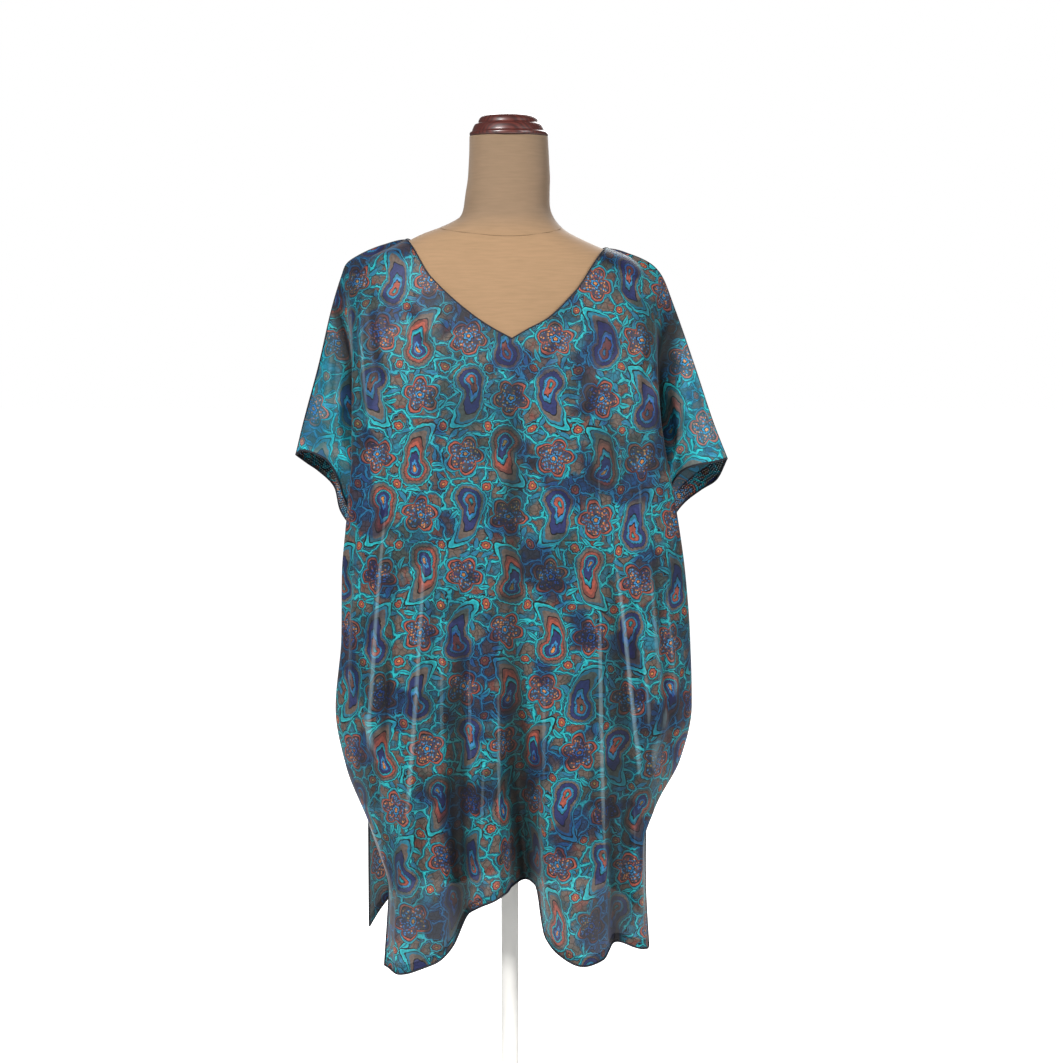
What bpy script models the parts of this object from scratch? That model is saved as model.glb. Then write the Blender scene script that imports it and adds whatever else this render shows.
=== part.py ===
"""A sheer kaftan with a V neck and cut-on half sleeves, worn by a limbless dress form on a pole stand.

Metres, +Z up. The front faces -Y, X runs to the right as the front is seen, and the floor is z = 0.
A distance "out" is measured from the centre plane to the side, and a depth is a place on Y.
"""

import math

import bmesh
import bpy
import numpy as np
from mathutils import Vector
from mathutils.bvhtree import BVHTree

# Cloth: the wall stands for one layer, and panels stay this far apart where they are sewn together.
WALL = 0.0015
SEAM_GAP = 0.0003
CLOTH_TO_FORM = 0.0048
CLOTH_SOFTNESS = 0.006
# Half of the flat cut: from the centre to the neck point, the shoulder tip and the sleeve end.
NECK_HALF, SHOULDER_HALF, SLEEVE_HALF = 0.146, 0.235, 0.500
# A depth well outside the dress form, from which its front and back are looked at.
OUTSIDE = 0.3
# Over this last bit of flat width the neck's edge turns from the form's front or back onto its ridge.
NECK_TURN = 0.003

# The dress form, from the top of its neck down: height, half width, front, back, shift to the side.
FORM_ROUNDNESS = 2.3
FORM_SECTIONS = [
    (1.4662, 0.0537, 0.0500, 0.0570, -0.0005),
    (1.4400, 0.0548, 0.0510, 0.0580, 0.0000),
    (1.4145, 0.0562, 0.0525, 0.0590, 0.0000),
    (1.3870, 0.0580, 0.0545, 0.0605, -0.0022),
    (1.3720, 0.0592, 0.0560, 0.0620, -0.0030),
    (1.3590, 0.0632, 0.0580, 0.0630, -0.0030),
    (1.3470, 0.0772, 0.0605, 0.0640, -0.0087),
    (1.3320, 0.1070, 0.0630, 0.0650, -0.0175),
    (1.3165, 0.1390, 0.0660, 0.0670, -0.0160),
    (1.2980, 0.1800, 0.0710, 0.0710, -0.0120),
    (1.2800, 0.1950, 0.0780, 0.0770, -0.0095),
    (1.2500, 0.2020, 0.0880, 0.0840, -0.0060),
    (1.2050, 0.1970, 0.0990, 0.0910, -0.0030),
    (1.1550, 0.1820, 0.1100, 0.0960, 0.0000),
    (1.1000, 0.1690, 0.1170, 0.0980, 0.0000),
    (1.0300, 0.1550, 0.1060, 0.0940, 0.0000),
    (0.9500, 0.1420, 0.0920, 0.0880, 0.0000),
    (0.8700, 0.1550, 0.0940, 0.0990, 0.0000),
    (0.7800, 0.1780, 0.1000, 0.1120, 0.0000),
    (0.7100, 0.1790, 0.0990, 0.1100, 0.0000),
    (0.6550, 0.1710, 0.0920, 0.1010, 0.0000),
    (0.6350, 0.1590, 0.0840, 0.0920, 0.0000),
    (0.6250, 0.1380, 0.0690, 0.0780, 0.0000),
]
FORM_AROUND = 36

# The turned cap on the neck, from its underside to the top of its dome: radius, height.
CAP_PROFILE = [
    (0.0515, 1.4665),
    (0.0540, 1.4685),
    (0.0540, 1.4715),
    (0.0505, 1.4745),
    (0.0482, 1.4790),
    (0.0462, 1.4830),
    (0.0420, 1.4855),
    (0.0400, 1.4900),
    (0.0355, 1.4940),
    (0.0200, 1.4962),
]
CAP_TOP = 1.4968

# The middle of the dome is flat, out to this radius.
CAP_CROWN = 0.004
CAP_AROUND = 28

BASE_RADIUS, BASE_THICKNESS, BASE_EDGE = 0.160, 0.016, 0.004
BASE_AROUND = 48
POLE_RADIUS = 0.0125
POLE_AROUND = 20

# Colours, in linear light.
CHIFFON_TEAL = (0.06, 0.24, 0.27)
LINEN_TAN = (0.52, 0.36, 0.22)
MAHOGANY = (0.16, 0.03, 0.015)
OFF_WHITE = (0.80, 0.79, 0.77)

# The upper edge of each half, on shoulder and sleeve: flat distance from the centre, out, height.
SHOULDER_EDGE = {
    "left": [
        (NECK_HALF, 0.1435, 1.3261),
        (0.176, 0.1729, 1.3193),
        (0.212, 0.2063, 1.3056),
        (SHOULDER_HALF, 0.2251, 1.2919),
        (0.249, 0.2306, 1.2780),
        (0.292, 0.2437, 1.2371),
        (0.377, 0.2640, 1.1544),
        (0.462, 0.2872, 1.0711),
        (SLEEVE_HALF, 0.2975, 1.0300),
    ],
    "right": [
        (NECK_HALF, 0.1376, 1.3138),
        (0.178, 0.1690, 1.3056),
        (0.212, 0.1970, 1.2919),
        (SHOULDER_HALF, 0.2095, 1.2780),
        (0.276, 0.2265, 1.2371),
        (0.363, 0.2562, 1.1544),
        (0.451, 0.2848, 1.0711),
        (SLEEVE_HALF, 0.3034, 1.0250),
    ],
}
# The V of the front neck and the scoop of the back neck: flat distance, out, height.
FRONT_NECK = {
    "left": [
        (0.0, -0.0047, 1.1930),
        (0.028, 0.0240, 1.2085),
        (0.056, 0.0520, 1.2275),
        (0.110, 0.1060, 1.2765),
    ],
    "right": [
        (0.0, 0.0047, 1.1930),
        (0.028, 0.0270, 1.2060),
        (0.056, 0.0500, 1.2180),
        (0.098, 0.0900, 1.2560),
    ],
}
BACK_NECK = {
    "left": [(0.0, 0.0, 1.3040), (0.070, 0.0660, 1.3060), (0.120, 0.1170, 1.3150)],
    "right": [(0.0, 0.0, 1.3040), (0.070, 0.0640, 1.3040), (0.120, 0.1130, 1.3070)],
}

# The guides down each half, as it hangs: a row for each height, with the depth of the flat front or back,
# then out and depth of the body fold's crest, of the groove behind it and of the sleeve's face.
FRONT_GUIDES = {
    "left": [
        (1.230, -0.098, 0.2140, -0.048, 0.2290, -0.012, 0.2440, -0.020),
        (1.150, -0.116, 0.2120, -0.076, 0.2190, -0.012, 0.2560, -0.018),
        (1.090, -0.123, 0.2120, -0.084, 0.2120, -0.010, 0.2420, -0.024),
        (1.030, -0.126, 0.2130, -0.087, 0.2060, -0.012, 0.2260, -0.028),
        (0.980, -0.128, 0.2170, -0.084, 0.2020, -0.020, 0.2130, -0.028),
        (0.930, -0.129, 0.2230, -0.078, 0.1990, -0.032, 0.2050, -0.020),
        (0.870, -0.130, 0.2290, -0.070, 0.2060, -0.034, 0.2060, -0.014),
        (0.780, -0.131, 0.2315, -0.062, 0.2200, -0.028, 0.2080, -0.007),
        (0.680, -0.131, 0.2410, -0.056, 0.2330, -0.024, 0.2180, -0.004),
        (0.600, -0.129, 0.2270, -0.058, 0.2220, -0.028, 0.2110, -0.008),
        (0.515, -0.126, 0.1900, -0.076, 0.1960, -0.048, 0.1980, -0.022),
        (0.420, -0.124, 0.1560, -0.106, 0.1640, -0.090, 0.1670, -0.076),
        (0.330, -0.122, 0.1500, -0.126, 0.1610, -0.118, 0.1680, -0.110),
    ],
    "right": [
        (1.230, -0.098, 0.1940, -0.048, 0.2100, -0.012, 0.2280, -0.020),
        (1.150, -0.116, 0.1960, -0.076, 0.2080, -0.012, 0.2520, -0.018),
        (1.090, -0.123, 0.2040, -0.084, 0.2080, -0.010, 0.2400, -0.024),
        (1.030, -0.126, 0.2140, -0.086, 0.2080, -0.012, 0.2280, -0.028),
        (0.980, -0.128, 0.2240, -0.082, 0.2040, -0.020, 0.2130, -0.028),
        (0.930, -0.129, 0.2330, -0.076, 0.2020, -0.032, 0.2070, -0.020),
        (0.870, -0.130, 0.2420, -0.066, 0.2150, -0.034, 0.2090, -0.014),
        (0.780, -0.131, 0.2500, -0.056, 0.2330, -0.022, 0.2160, -0.003),
        (0.680, -0.131, 0.2535, -0.052, 0.2410, -0.018, 0.2210, -0.001),
        (0.600, -0.129, 0.2380, -0.052, 0.2300, -0.020, 0.2150, -0.003),
        (0.530, -0.126, 0.2020, -0.066, 0.2020, -0.040, 0.1980, -0.018),
        (0.475, -0.122, 0.1850, -0.082, 0.1870, -0.062, 0.1880, -0.044),
        (0.420, -0.118, 0.1840, -0.090, 0.1880, -0.074, 0.1900, -0.060),
        (0.330, -0.110, 0.1780, -0.094, 0.1870, -0.088, 0.1925, -0.082),
    ],
}
BACK_GUIDES = {
    "left": [
        (1.230, 0.094, 0.2080, 0.046, 0.2250, 0.018, 0.2420, 0.018),
        (1.150, 0.104, 0.2020, 0.072, 0.2150, 0.026, 0.2540, 0.016),
        (1.090, 0.108, 0.2010, 0.080, 0.2110, 0.032, 0.2420, 0.026),
        (1.030, 0.110, 0.2030, 0.084, 0.2080, 0.038, 0.2280, 0.034),
        (0.980, 0.111, 0.2060, 0.084, 0.2060, 0.044, 0.2180, 0.034),
        (0.930, 0.113, 0.2110, 0.082, 0.2040, 0.048, 0.2100, 0.028),
        (0.870, 0.118, 0.2160, 0.080, 0.2070, 0.050, 0.2070, 0.026),
        (0.780, 0.122, 0.2220, 0.078, 0.2140, 0.050, 0.2080, 0.028),
        (0.680, 0.124, 0.2270, 0.078, 0.2200, 0.050, 0.2130, 0.028),
        (0.600, 0.122, 0.2200, 0.078, 0.2150, 0.050, 0.2090, 0.028),
        (0.515, 0.118, 0.2030, 0.080, 0.2040, 0.052, 0.2040, 0.028),
        (0.420, 0.114, 0.1860, 0.094, 0.1980, 0.082, 0.2040, 0.070),
        (0.330, 0.110, 0.1740, 0.104, 0.1920, 0.098, 0.2030, 0.090),
    ],
    "right": [
        (1.230, 0.094, 0.1920, 0.046, 0.2080, 0.018, 0.2260, 0.018),
        (1.150, 0.104, 0.1900, 0.070, 0.2060, 0.026, 0.2500, 0.016),
        (1.090, 0.108, 0.1960, 0.078, 0.2080, 0.032, 0.2400, 0.026),
        (1.030, 0.110, 0.2030, 0.082, 0.2090, 0.038, 0.2300, 0.034),
        (0.980, 0.111, 0.2080, 0.082, 0.2070, 0.044, 0.2180, 0.034),
        (0.930, 0.113, 0.2150, 0.080, 0.2060, 0.048, 0.2100, 0.028),
        (0.870, 0.118, 0.2220, 0.078, 0.2110, 0.050, 0.2090, 0.028),
        (0.780, 0.122, 0.2300, 0.076, 0.2200, 0.050, 0.2110, 0.030),
        (0.680, 0.124, 0.2340, 0.076, 0.2260, 0.050, 0.2140, 0.031),
        (0.600, 0.122, 0.2220, 0.078, 0.2160, 0.052, 0.2090, 0.030),
        (0.530, 0.118, 0.1980, 0.080, 0.1990, 0.054, 0.1980, 0.028),
        (0.420, 0.112, 0.1740, 0.096, 0.1840, 0.084, 0.1890, 0.070),
        (0.330, 0.108, 0.1640, 0.104, 0.1790, 0.098, 0.1860, 0.090),
    ],
}
# The sleeve's open edge from the upper fold to the underarm, the side seam down to the slit, and the slit's
# edges down to the hem: out, depth, height.
FRONT_OPENING = {
    "left": [
        (0.2880, -0.010, 1.0370),
        (0.2550, -0.022, 1.0260),
        (0.2400, -0.024, 1.0050),
        (0.2310, -0.018, 0.9760),
    ],
    "right": [
        (0.2880, -0.012, 1.0215),
        (0.2640, -0.022, 1.0184),
        (0.2420, -0.024, 1.0110),
        (0.2250, -0.018, 0.9880),
    ],
}
BACK_OPENING = {
    "left": [
        (0.2824, 0.013, 1.0169),
        (0.2690, 0.024, 1.0060),
        (0.2460, 0.034, 0.9790),
        (0.2400, 0.034, 0.9510),
    ],
    "right": [
        (0.2900, 0.016, 0.9940),
        (0.2690, 0.030, 0.9780),
        (0.2480, 0.035, 0.9610),
        (0.2340, 0.030, 0.9450),
    ],
}
SIDE_SEAM = {
    "left": [
        (0.2130, 0.006, 0.915),
        (0.2050, 0.010, 0.870),
        (0.2000, 0.012, 0.800),
        (0.2060, 0.012, 0.680),
        (0.2040, 0.010, 0.600),
    ],
    "right": [
        (0.2130, 0.006, 0.928),
        (0.2070, 0.011, 0.870),
        (0.2020, 0.014, 0.800),
        (0.2060, 0.015, 0.680),
        (0.2030, 0.012, 0.600),
    ],
}
SLIT_TOP = {"left": (0.2010, 0.004, 0.512), "right": (0.1950, 0.005, 0.530)}
FRONT_SLIT = {
    "left": [(0.1680, -0.062, 0.420), (0.1720, -0.104, 0.326)],
    "right": [(0.1905, -0.046, 0.430), (0.1940, -0.074, 0.345)],
}
BACK_SLIT = {
    "left": [(0.2050, 0.052, 0.420), (0.2075, 0.082, 0.328)],
    "right": [(0.1900, 0.056, 0.430), (0.1880, 0.082, 0.352)],
}
SEAM_STEP = 0.025
# How far out the two inner guides lie, as shares of the body fold's crest, and their flat distances.
INNER_GUIDES = [(0.085, 0.38), (0.160, 0.72)]
CREST_FLAT, GROOVE_FLAT, FACE_FLAT = 0.235, 0.290, 0.370

# The hems, from the left edge to the right: place on X, height.
FRONT_HEM = [
    (-0.172, 0.329),
    (-0.140, 0.335),
    (-0.107, 0.343),
    (-0.078, 0.360),
    (-0.055, 0.402),
    (-0.027, 0.426),
    (0.020, 0.441),
    (0.036, 0.436),
    (0.050, 0.368),
    (0.070, 0.352),
    (0.110, 0.341),
    (0.130, 0.342),
    (0.145, 0.358),
    (0.194, 0.348),
]
BACK_HEM = [
    (-0.208, 0.328),
    (-0.190, 0.354),
    (-0.165, 0.382),
    (-0.100, 0.392),
    (0.000, 0.398),
    (0.090, 0.394),
    (0.150, 0.384),
    (0.188, 0.352),
]

# The large folds that hang in each panel. A ridge stands out from it, and a valley, with a minus, sinks in.
# Place on X at the top, middle and hem, heights of top and middle, rise at the middle and the hem, width.
FRONT_FOLDS = [
    (0.003, 0.004, 0.030, 1.160, 0.830, -0.010, -0.062, 0.022),
    (-0.060, -0.072, -0.062, 0.860, 0.620, -0.018, -0.044, 0.019),
    (-0.112, -0.137, -0.150, 0.960, 0.690, 0.011, 0.012, 0.019),
    (-0.166, -0.188, -0.190, 0.990, 0.760, 0.008, 0.000, 0.016),
    (-0.028, -0.032, -0.014, 0.800, 0.600, 0.004, 0.012, 0.016),
    (0.070, 0.085, 0.095, 0.760, 0.560, 0.010, 0.036, 0.034),
    (0.122, 0.152, 0.150, 0.960, 0.620, -0.010, -0.024, 0.017),
    (0.146, 0.188, 0.196, 0.980, 0.760, 0.010, 0.004, 0.016),
]
BACK_FOLDS = [
    (-0.010, -0.014, -0.020, 1.050, 0.800, 0.006, 0.030, 0.026),
    (0.050, 0.052, 0.046, 0.880, 0.640, -0.004, -0.030, 0.018),
    (0.095, 0.108, 0.112, 0.980, 0.740, 0.008, 0.022, 0.020),
    (0.150, 0.158, 0.150, 0.860, 0.640, -0.004, -0.018, 0.012),
    (-0.075, -0.080, -0.082, 0.900, 0.660, -0.004, -0.030, 0.018),
    (-0.120, -0.134, -0.132, 0.960, 0.720, 0.008, 0.020, 0.018),
    (-0.160, -0.176, -0.168, 0.840, 0.640, -0.004, -0.016, 0.012),
]
# A fold fades in over this height, and reaches its full rise at the hem.
FOLD_FADE, FOLD_FOOT = 0.10, 0.34

# The mesh of each panel: columns in one half of it, out to each flat distance, and rows from edge to hem.
FRONT_COLUMNS = [(0.110, 8), (NECK_HALF, 8), (CREST_FLAT, 7), (0.310, 5), (SLEEVE_HALF, 6)]
BACK_COLUMNS = [(0.110, 5), (NECK_HALF, 7), (CREST_FLAT, 6), (0.310, 4), (SLEEVE_HALF, 5)]
FRONT_ROWS, BACK_ROWS = 29, 26
ROW_EASE = 1.5
# A guide starts at the upper edge and joins its table this far below it. The edge itself is met exactly
# over the first share of the length, and the hem's heights are reached over the last one.
GUIDE_START, EDGE_SHARE, HEM_SHARE = 0.03, 0.1, 0.5
# The yoke is pulled smooth by the weight below it, down to this share of the length, in this many passes.
YOKE_SHARE, YOKE_PASSES = 0.35, 8


def smooth(knots, values, at):
    """Curve through the values at the knots that never overshoots them, read at the given places."""
    knots = np.asarray(knots, float)
    values = np.asarray(values, float).reshape(len(knots), -1)
    step = np.diff(knots)[:, None]
    slope = np.diff(values, axis=0) / step
    tangent = np.zeros_like(values)
    tangent[0], tangent[-1] = slope[0], slope[-1]
    before, after = slope[:-1], slope[1:]
    same = before * after > 0
    weight_a, weight_b = 2 * step[1:] + step[:-1], step[1:] + 2 * step[:-1]
    safe_before = np.where(same, before, 1.0)
    safe_after = np.where(same, after, 1.0)
    mean = (weight_a + weight_b) / (weight_a / safe_before + weight_b / safe_after)
    tangent[1:-1] = np.where(same, mean, 0.0)
    at = np.clip(np.asarray(at, float), knots[0], knots[-1])
    i = np.clip(np.searchsorted(knots, at, side="right") - 1, 0, len(knots) - 2)
    u = ((at - knots[i]) / step[i, 0])[:, None]
    return (
        values[i] * (1 + 2 * u) * (1 - u) ** 2
        + tangent[i] * step[i] * u * (1 - u) ** 2
        + values[i + 1] * u * u * (3 - 2 * u)
        + tangent[i + 1] * step[i] * u * u * (u - 1)
    )


def ease(low, high, at):
    """0 below low, 1 above high, and a smooth step between them."""
    u = np.clip((at - low) / (high - low), 0, 1)
    return u * u * (3 - 2 * u)


def form_rings(sections, around):
    """Rings of the dress form, from the top of its neck down."""
    angles = np.linspace(0, 2 * math.pi, around, endpoint=False)
    power = 2 / FORM_ROUNDNESS
    across = np.sign(np.cos(angles)) * np.abs(np.cos(angles)) ** power
    deep = np.sign(np.sin(angles)) * np.abs(np.sin(angles)) ** power
    for height, half, front, back, shift in sections:
        depth = np.where(deep < 0, front, back) * deep
        yield np.stack([shift + half * across, depth, np.full_like(depth, height)], axis=1)


def fill_form(bm):
    """The dress form's skin, in triangles."""
    fill_rings(bm, form_rings(FORM_SECTIONS, FORM_AROUND))
    bmesh.ops.triangulate(bm, faces=bm.faces)


def form_surface():
    """The dress form's skin, for measuring how far the cloth is from it."""
    bm = bmesh.new()
    fill_form(bm)
    surface = BVHTree.FromBMesh(bm)
    bm.free()
    return surface


def clear_of_form(points, surface):
    """Moves the points that are nearer to the dress form than the cloth hangs away from it."""
    moved = np.array(points)
    for point in moved:
        near, normal, _, _ = surface.find_nearest(point)
        away = (Vector(point) - near).dot(normal)
        blend = min(max((CLOTH_TO_FORM - away) / CLOTH_SOFTNESS + 0.5, 0.0), 1.0)
        push = (CLOTH_TO_FORM - away) * blend + CLOTH_SOFTNESS * blend * (1 - blend) / 2
        point += np.array(normal) * push
    return moved


def neck_depth(points, side, surface, at_seam):
    """How far forwards or back the neck's edge lies on the dress form, at its own place and height."""
    away = Vector((0.0, side * OUTSIDE, 0.0))
    depths = []
    for x, _, z in points:
        hit = surface.ray_cast(Vector((x, away.y, z)), -away)[0]
        depths.append(hit.y + side * CLOTH_TO_FORM if hit else at_seam)
    return np.array(depths)


def upper_edge(side_name, side, surface):
    """The neck, shoulder and upper sleeve edge of one half of a panel, as a function of flat distance."""
    neck = (FRONT_NECK if side < 0 else BACK_NECK)[side_name]
    table = np.array(neck + SHOULDER_EDGE[side_name])
    sign = -1 if side_name == "left" else 1

    def place(flat):
        out, height = smooth(table[:, 0], table[:, 1:], flat).T
        on_neck = 1 - ease(NECK_HALF - NECK_TURN, NECK_HALF, flat)
        at_seam = side * (WALL + SEAM_GAP) / 2
        at_neck = neck_depth(np.stack([sign * out, out, height], axis=1), side, surface, at_seam)
        return np.stack([out, at_seam + (at_neck - at_seam) * on_neck, height], axis=1)

    return place


def side_edge(side_name, side):
    """The side seam from the underarm to the slit and the slit's edge, as points from the top down."""
    seam = np.array([*SIDE_SEAM[side_name], SLIT_TOP[side_name]])[::-1]
    heights = np.arange(seam[0, 2], seam[-1, 2], SEAM_STEP)
    out, depth = smooth(seam[:, 2], seam[:, :2], heights).T
    sewn = np.stack([out, depth + side * (WALL + SEAM_GAP) / 2, heights], axis=1)[::-1]
    return [*sewn, *(FRONT_SLIT if side < 0 else BACK_SLIT)[side_name]]


def guide_paths(side_name, side, top):
    """Flat distance and path, from the upper edge to the hem, of each guide of one half of a panel."""
    rows = (FRONT_GUIDES if side < 0 else BACK_GUIDES)[side_name]
    paths = [(0.0, [(0.0, row[1], row[0]) for row in rows])]
    for flat, share in INNER_GUIDES:
        lean = share**3 / 2
        paths.append((flat, [(row[2] * share, row[1] + (row[3] - row[1]) * lean, row[0]) for row in rows]))
    for flat, column in ((CREST_FLAT, 2), (GROOVE_FLAT, 4), (FACE_FLAT, 6)):
        paths.append((flat, [(row[column], row[column + 1], row[0]) for row in rows]))
    guides = []
    for flat, path in paths:
        start = top(np.array([flat]))[0]
        below = [point for point in path if point[2] < start[2] - GUIDE_START]
        guides.append((flat, np.array([start, *below])))
    opening = (FRONT_OPENING if side < 0 else BACK_OPENING)[side_name]
    edge = [top(np.array([SLEEVE_HALF]))[0], *opening, *side_edge(side_name, side)]
    guides.append((SLEEVE_HALF, np.array(edge)))
    return guides


def along(path, share):
    """Points at the given shares of a path's length."""
    length = np.concatenate([[0], np.cumsum(np.linalg.norm(np.diff(path, axis=0), axis=1))])
    return smooth(length / length[-1], path, share)


def half_panel(side_name, side, flats, rows, surface):
    """Grid of points, a row for each step down, of one half of a panel, from its centre out to its edge."""
    share = (np.arange(rows + 1) / rows) ** ROW_EASE
    top = upper_edge(side_name, side, surface)
    guides = guide_paths(side_name, side, top)
    lines = np.stack([along(path, share) for _, path in guides])
    knots = [flat for flat, _ in guides]
    grid = np.stack([smooth(knots, lines[:, row], flats) for row in range(rows + 1)])
    fade = 1 - ease(0.0, EDGE_SHARE, share)
    grid += (top(flats) - grid[0])[None] * fade[:, None, None]
    return grid


def pull_smooth(grid, share, flat):
    """Evens out the yoke of a panel: each point moves towards the mean of its four neighbours."""
    down = 1 - ease(YOKE_SHARE / 2, YOKE_SHARE, share)
    out = 1 - ease(NECK_HALF, CREST_FLAT, np.abs(flat))
    inner = (down[:, None] * out)[1:-1, 1:-1, None] / 2
    for _ in range(YOKE_PASSES):
        mean = (grid[:-2, 1:-1] + grid[2:, 1:-1] + grid[1:-1, :-2] + grid[1:-1, 2:]) / 4
        grid[1:-1, 1:-1] += (mean - grid[1:-1, 1:-1]) * inner


def hang_folds(points, folds, side):
    """Moves the points of a panel along Y by the panel's large folds."""
    x, y, z = points.T
    for top, middle, low, top_z, middle_z, rise, rise_hem, width in folds:
        place = smooth([FOLD_FOOT, middle_z, top_z], [low, middle, top], z)[:, 0]
        height = smooth([FOLD_FOOT, middle_z, top_z], [rise_hem, rise, 0.0], z)[:, 0]
        fade = 1 - ease(top_z - FOLD_FADE, top_z, z)
        y = y + side * height * fade * np.exp(-(((x - place) / width) ** 2))
    return np.stack([x, y, z], axis=1)


def panel_points(side, columns, rows, folds, hem):
    """Grid of points of a whole panel, from its left edge to its right edge."""
    flats, start = [0.0], 0.0
    for end, count in columns:
        flats += list(np.linspace(start, end, count + 1)[1:])
        start = end
    flats = np.array(flats)
    surface = form_surface()
    left = half_panel("left", side, flats, rows, surface) * np.array([-1, 1, 1])
    right = half_panel("right", side, flats, rows, surface)
    centre = (left[:, :1] + right[:, :1]) / 2
    grid = np.concatenate([left[:, :0:-1], centre, right[:, 1:]], axis=1)
    flat = np.concatenate([-flats[:0:-1], flats])
    share = (np.arange(rows + 1) / rows) ** ROW_EASE
    pull_smooth(grid, share, flat)
    hem = np.array(hem)
    goal = smooth(hem[:, 0], hem[:, 1], grid[-1, :, 0])[:, 0]
    grid[:, :, 2] += (goal - grid[-1, :, 2])[None] * ease(HEM_SHARE, 1.0, share)[:, None]
    body = 1 - ease(CREST_FLAT, FACE_FLAT, np.abs(flat))
    folded = hang_folds(grid.reshape(-1, 3), folds, side).reshape(grid.shape)
    grid += (folded - grid) * body[None, :, None]
    over_form = 1 - ease(CREST_FLAT, GROOVE_FLAT, np.abs(flat))
    cleared = clear_of_form(grid.reshape(-1, 3), surface).reshape(grid.shape)
    seam = (np.abs(flat) >= NECK_HALF)[None, :, None] & (np.arange(rows + 1) == 0)[:, None, None]
    return np.where(seam, grid, grid + (cleared - grid) * over_form[None, :, None])


def add_object(name, mesh_builder, colour, roughness):
    """One named object with its own material, from a function that fills a bmesh."""
    bm = bmesh.new()
    mesh_builder(bm)
    mesh = bpy.data.meshes.new(name)
    bm.to_mesh(mesh)
    bm.free()
    material = bpy.data.materials.new(name)
    material.use_nodes = True
    shader = material.node_tree.nodes["Principled BSDF"]
    shader.inputs["Base Color"].default_value = (*colour, 1.0)
    shader.inputs["Roughness"].default_value = roughness
    shader.inputs["Metallic"].default_value = 0.0
    mesh.materials.append(material)
    mesh.shade_smooth()
    obj = bpy.data.objects.new(name, mesh)
    bpy.context.scene.collection.objects.link(obj)
    return obj


def fill_grid(bm, grid, outward):
    """Faces between the rows and columns of a grid of points, facing the given way along Y."""
    verts = [[bm.verts.new(point) for point in row] for row in grid]
    for upper, lower in zip(verts, verts[1:]):
        for a, b, c, d in zip(upper, upper[1:], lower[1:], lower):
            bm.faces.new((a, d, c, b) if outward < 0 else (a, b, c, d))


def fill_rings(bm, rings):
    """Closed skin through rings of equal numbers of points, from the top down, capped at both ends."""
    loops = [[bm.verts.new(point) for point in ring] for ring in rings]
    for upper, lower in zip(loops, loops[1:]):
        count = len(upper)
        for i in range(count):
            j = (i + 1) % count
            bm.faces.new((upper[i], lower[i], lower[j], upper[j]))
    bm.faces.new(loops[0])
    bm.faces.new(loops[-1][::-1])


def turned_rings(profile, around):
    """Rings of a turned piece, given by radius and height from the top down."""
    for radius, height in profile:
        turn = [2 * math.pi * i / around for i in range(around)]
        yield [(radius * math.cos(a), radius * math.sin(a), height) for a in turn]


def add_turned(name, profile, around, colour, roughness):
    """One object turned about the Z axis."""
    add_object(name, lambda bm: fill_rings(bm, turned_rings(profile, around)), colour, roughness)


def make_panel(name, side, columns, rows, folds, hem):
    """One panel as a closed wall around its sheet of points."""
    grid = panel_points(side, columns, rows, folds, hem)
    panel = add_object(name, lambda bm: fill_grid(bm, grid, side), CHIFFON_TEAL, 0.55)
    wall = panel.modifiers.new("wall", "SOLIDIFY")
    wall.thickness = WALL
    wall.offset = 0.0
    wall.use_even_offset = False
    return panel


def make_form():
    """Padded torso with its neck, in one skin."""
    add_object("form_torso", fill_form, LINEN_TAN, 0.85)


def make_cap():
    """Turned wooden cap on the neck."""
    profile = [(CAP_CROWN, CAP_TOP), *CAP_PROFILE[::-1]]
    add_turned("neck_cap", profile, CAP_AROUND, MAHOGANY, 0.25)


def make_stand():
    """Pole from the torso's underside to a round flat base."""
    top = BASE_THICKNESS
    base = [
        (BASE_RADIUS - BASE_EDGE, top),
        (BASE_RADIUS, top - BASE_EDGE),
        (BASE_RADIUS, 0.0),
    ]
    add_turned("stand_base", base, BASE_AROUND, OFF_WHITE, 0.35)
    underside = FORM_SECTIONS[-1][0]
    pole = [(POLE_RADIUS, underside - SEAM_GAP), (POLE_RADIUS, top + SEAM_GAP)]
    add_turned("stand_pole", pole, POLE_AROUND, OFF_WHITE, 0.35)


for old in list(bpy.data.objects):
    bpy.data.objects.remove(old)

make_form()
make_cap()
make_stand()
make_panel("front_panel", -1, FRONT_COLUMNS, FRONT_ROWS, FRONT_FOLDS, FRONT_HEM)
make_panel("back_panel", 1, BACK_COLUMNS, BACK_ROWS, BACK_FOLDS, BACK_HEM)
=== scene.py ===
"""A sheer printed kaftan with a V neck and half sleeves, worn by a limbless dress form on a pole stand."""

import math

import bmesh
import bpy
import numpy as np
from mathutils import Matrix, Vector
from mathutils.bvhtree import BVHTree


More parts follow.
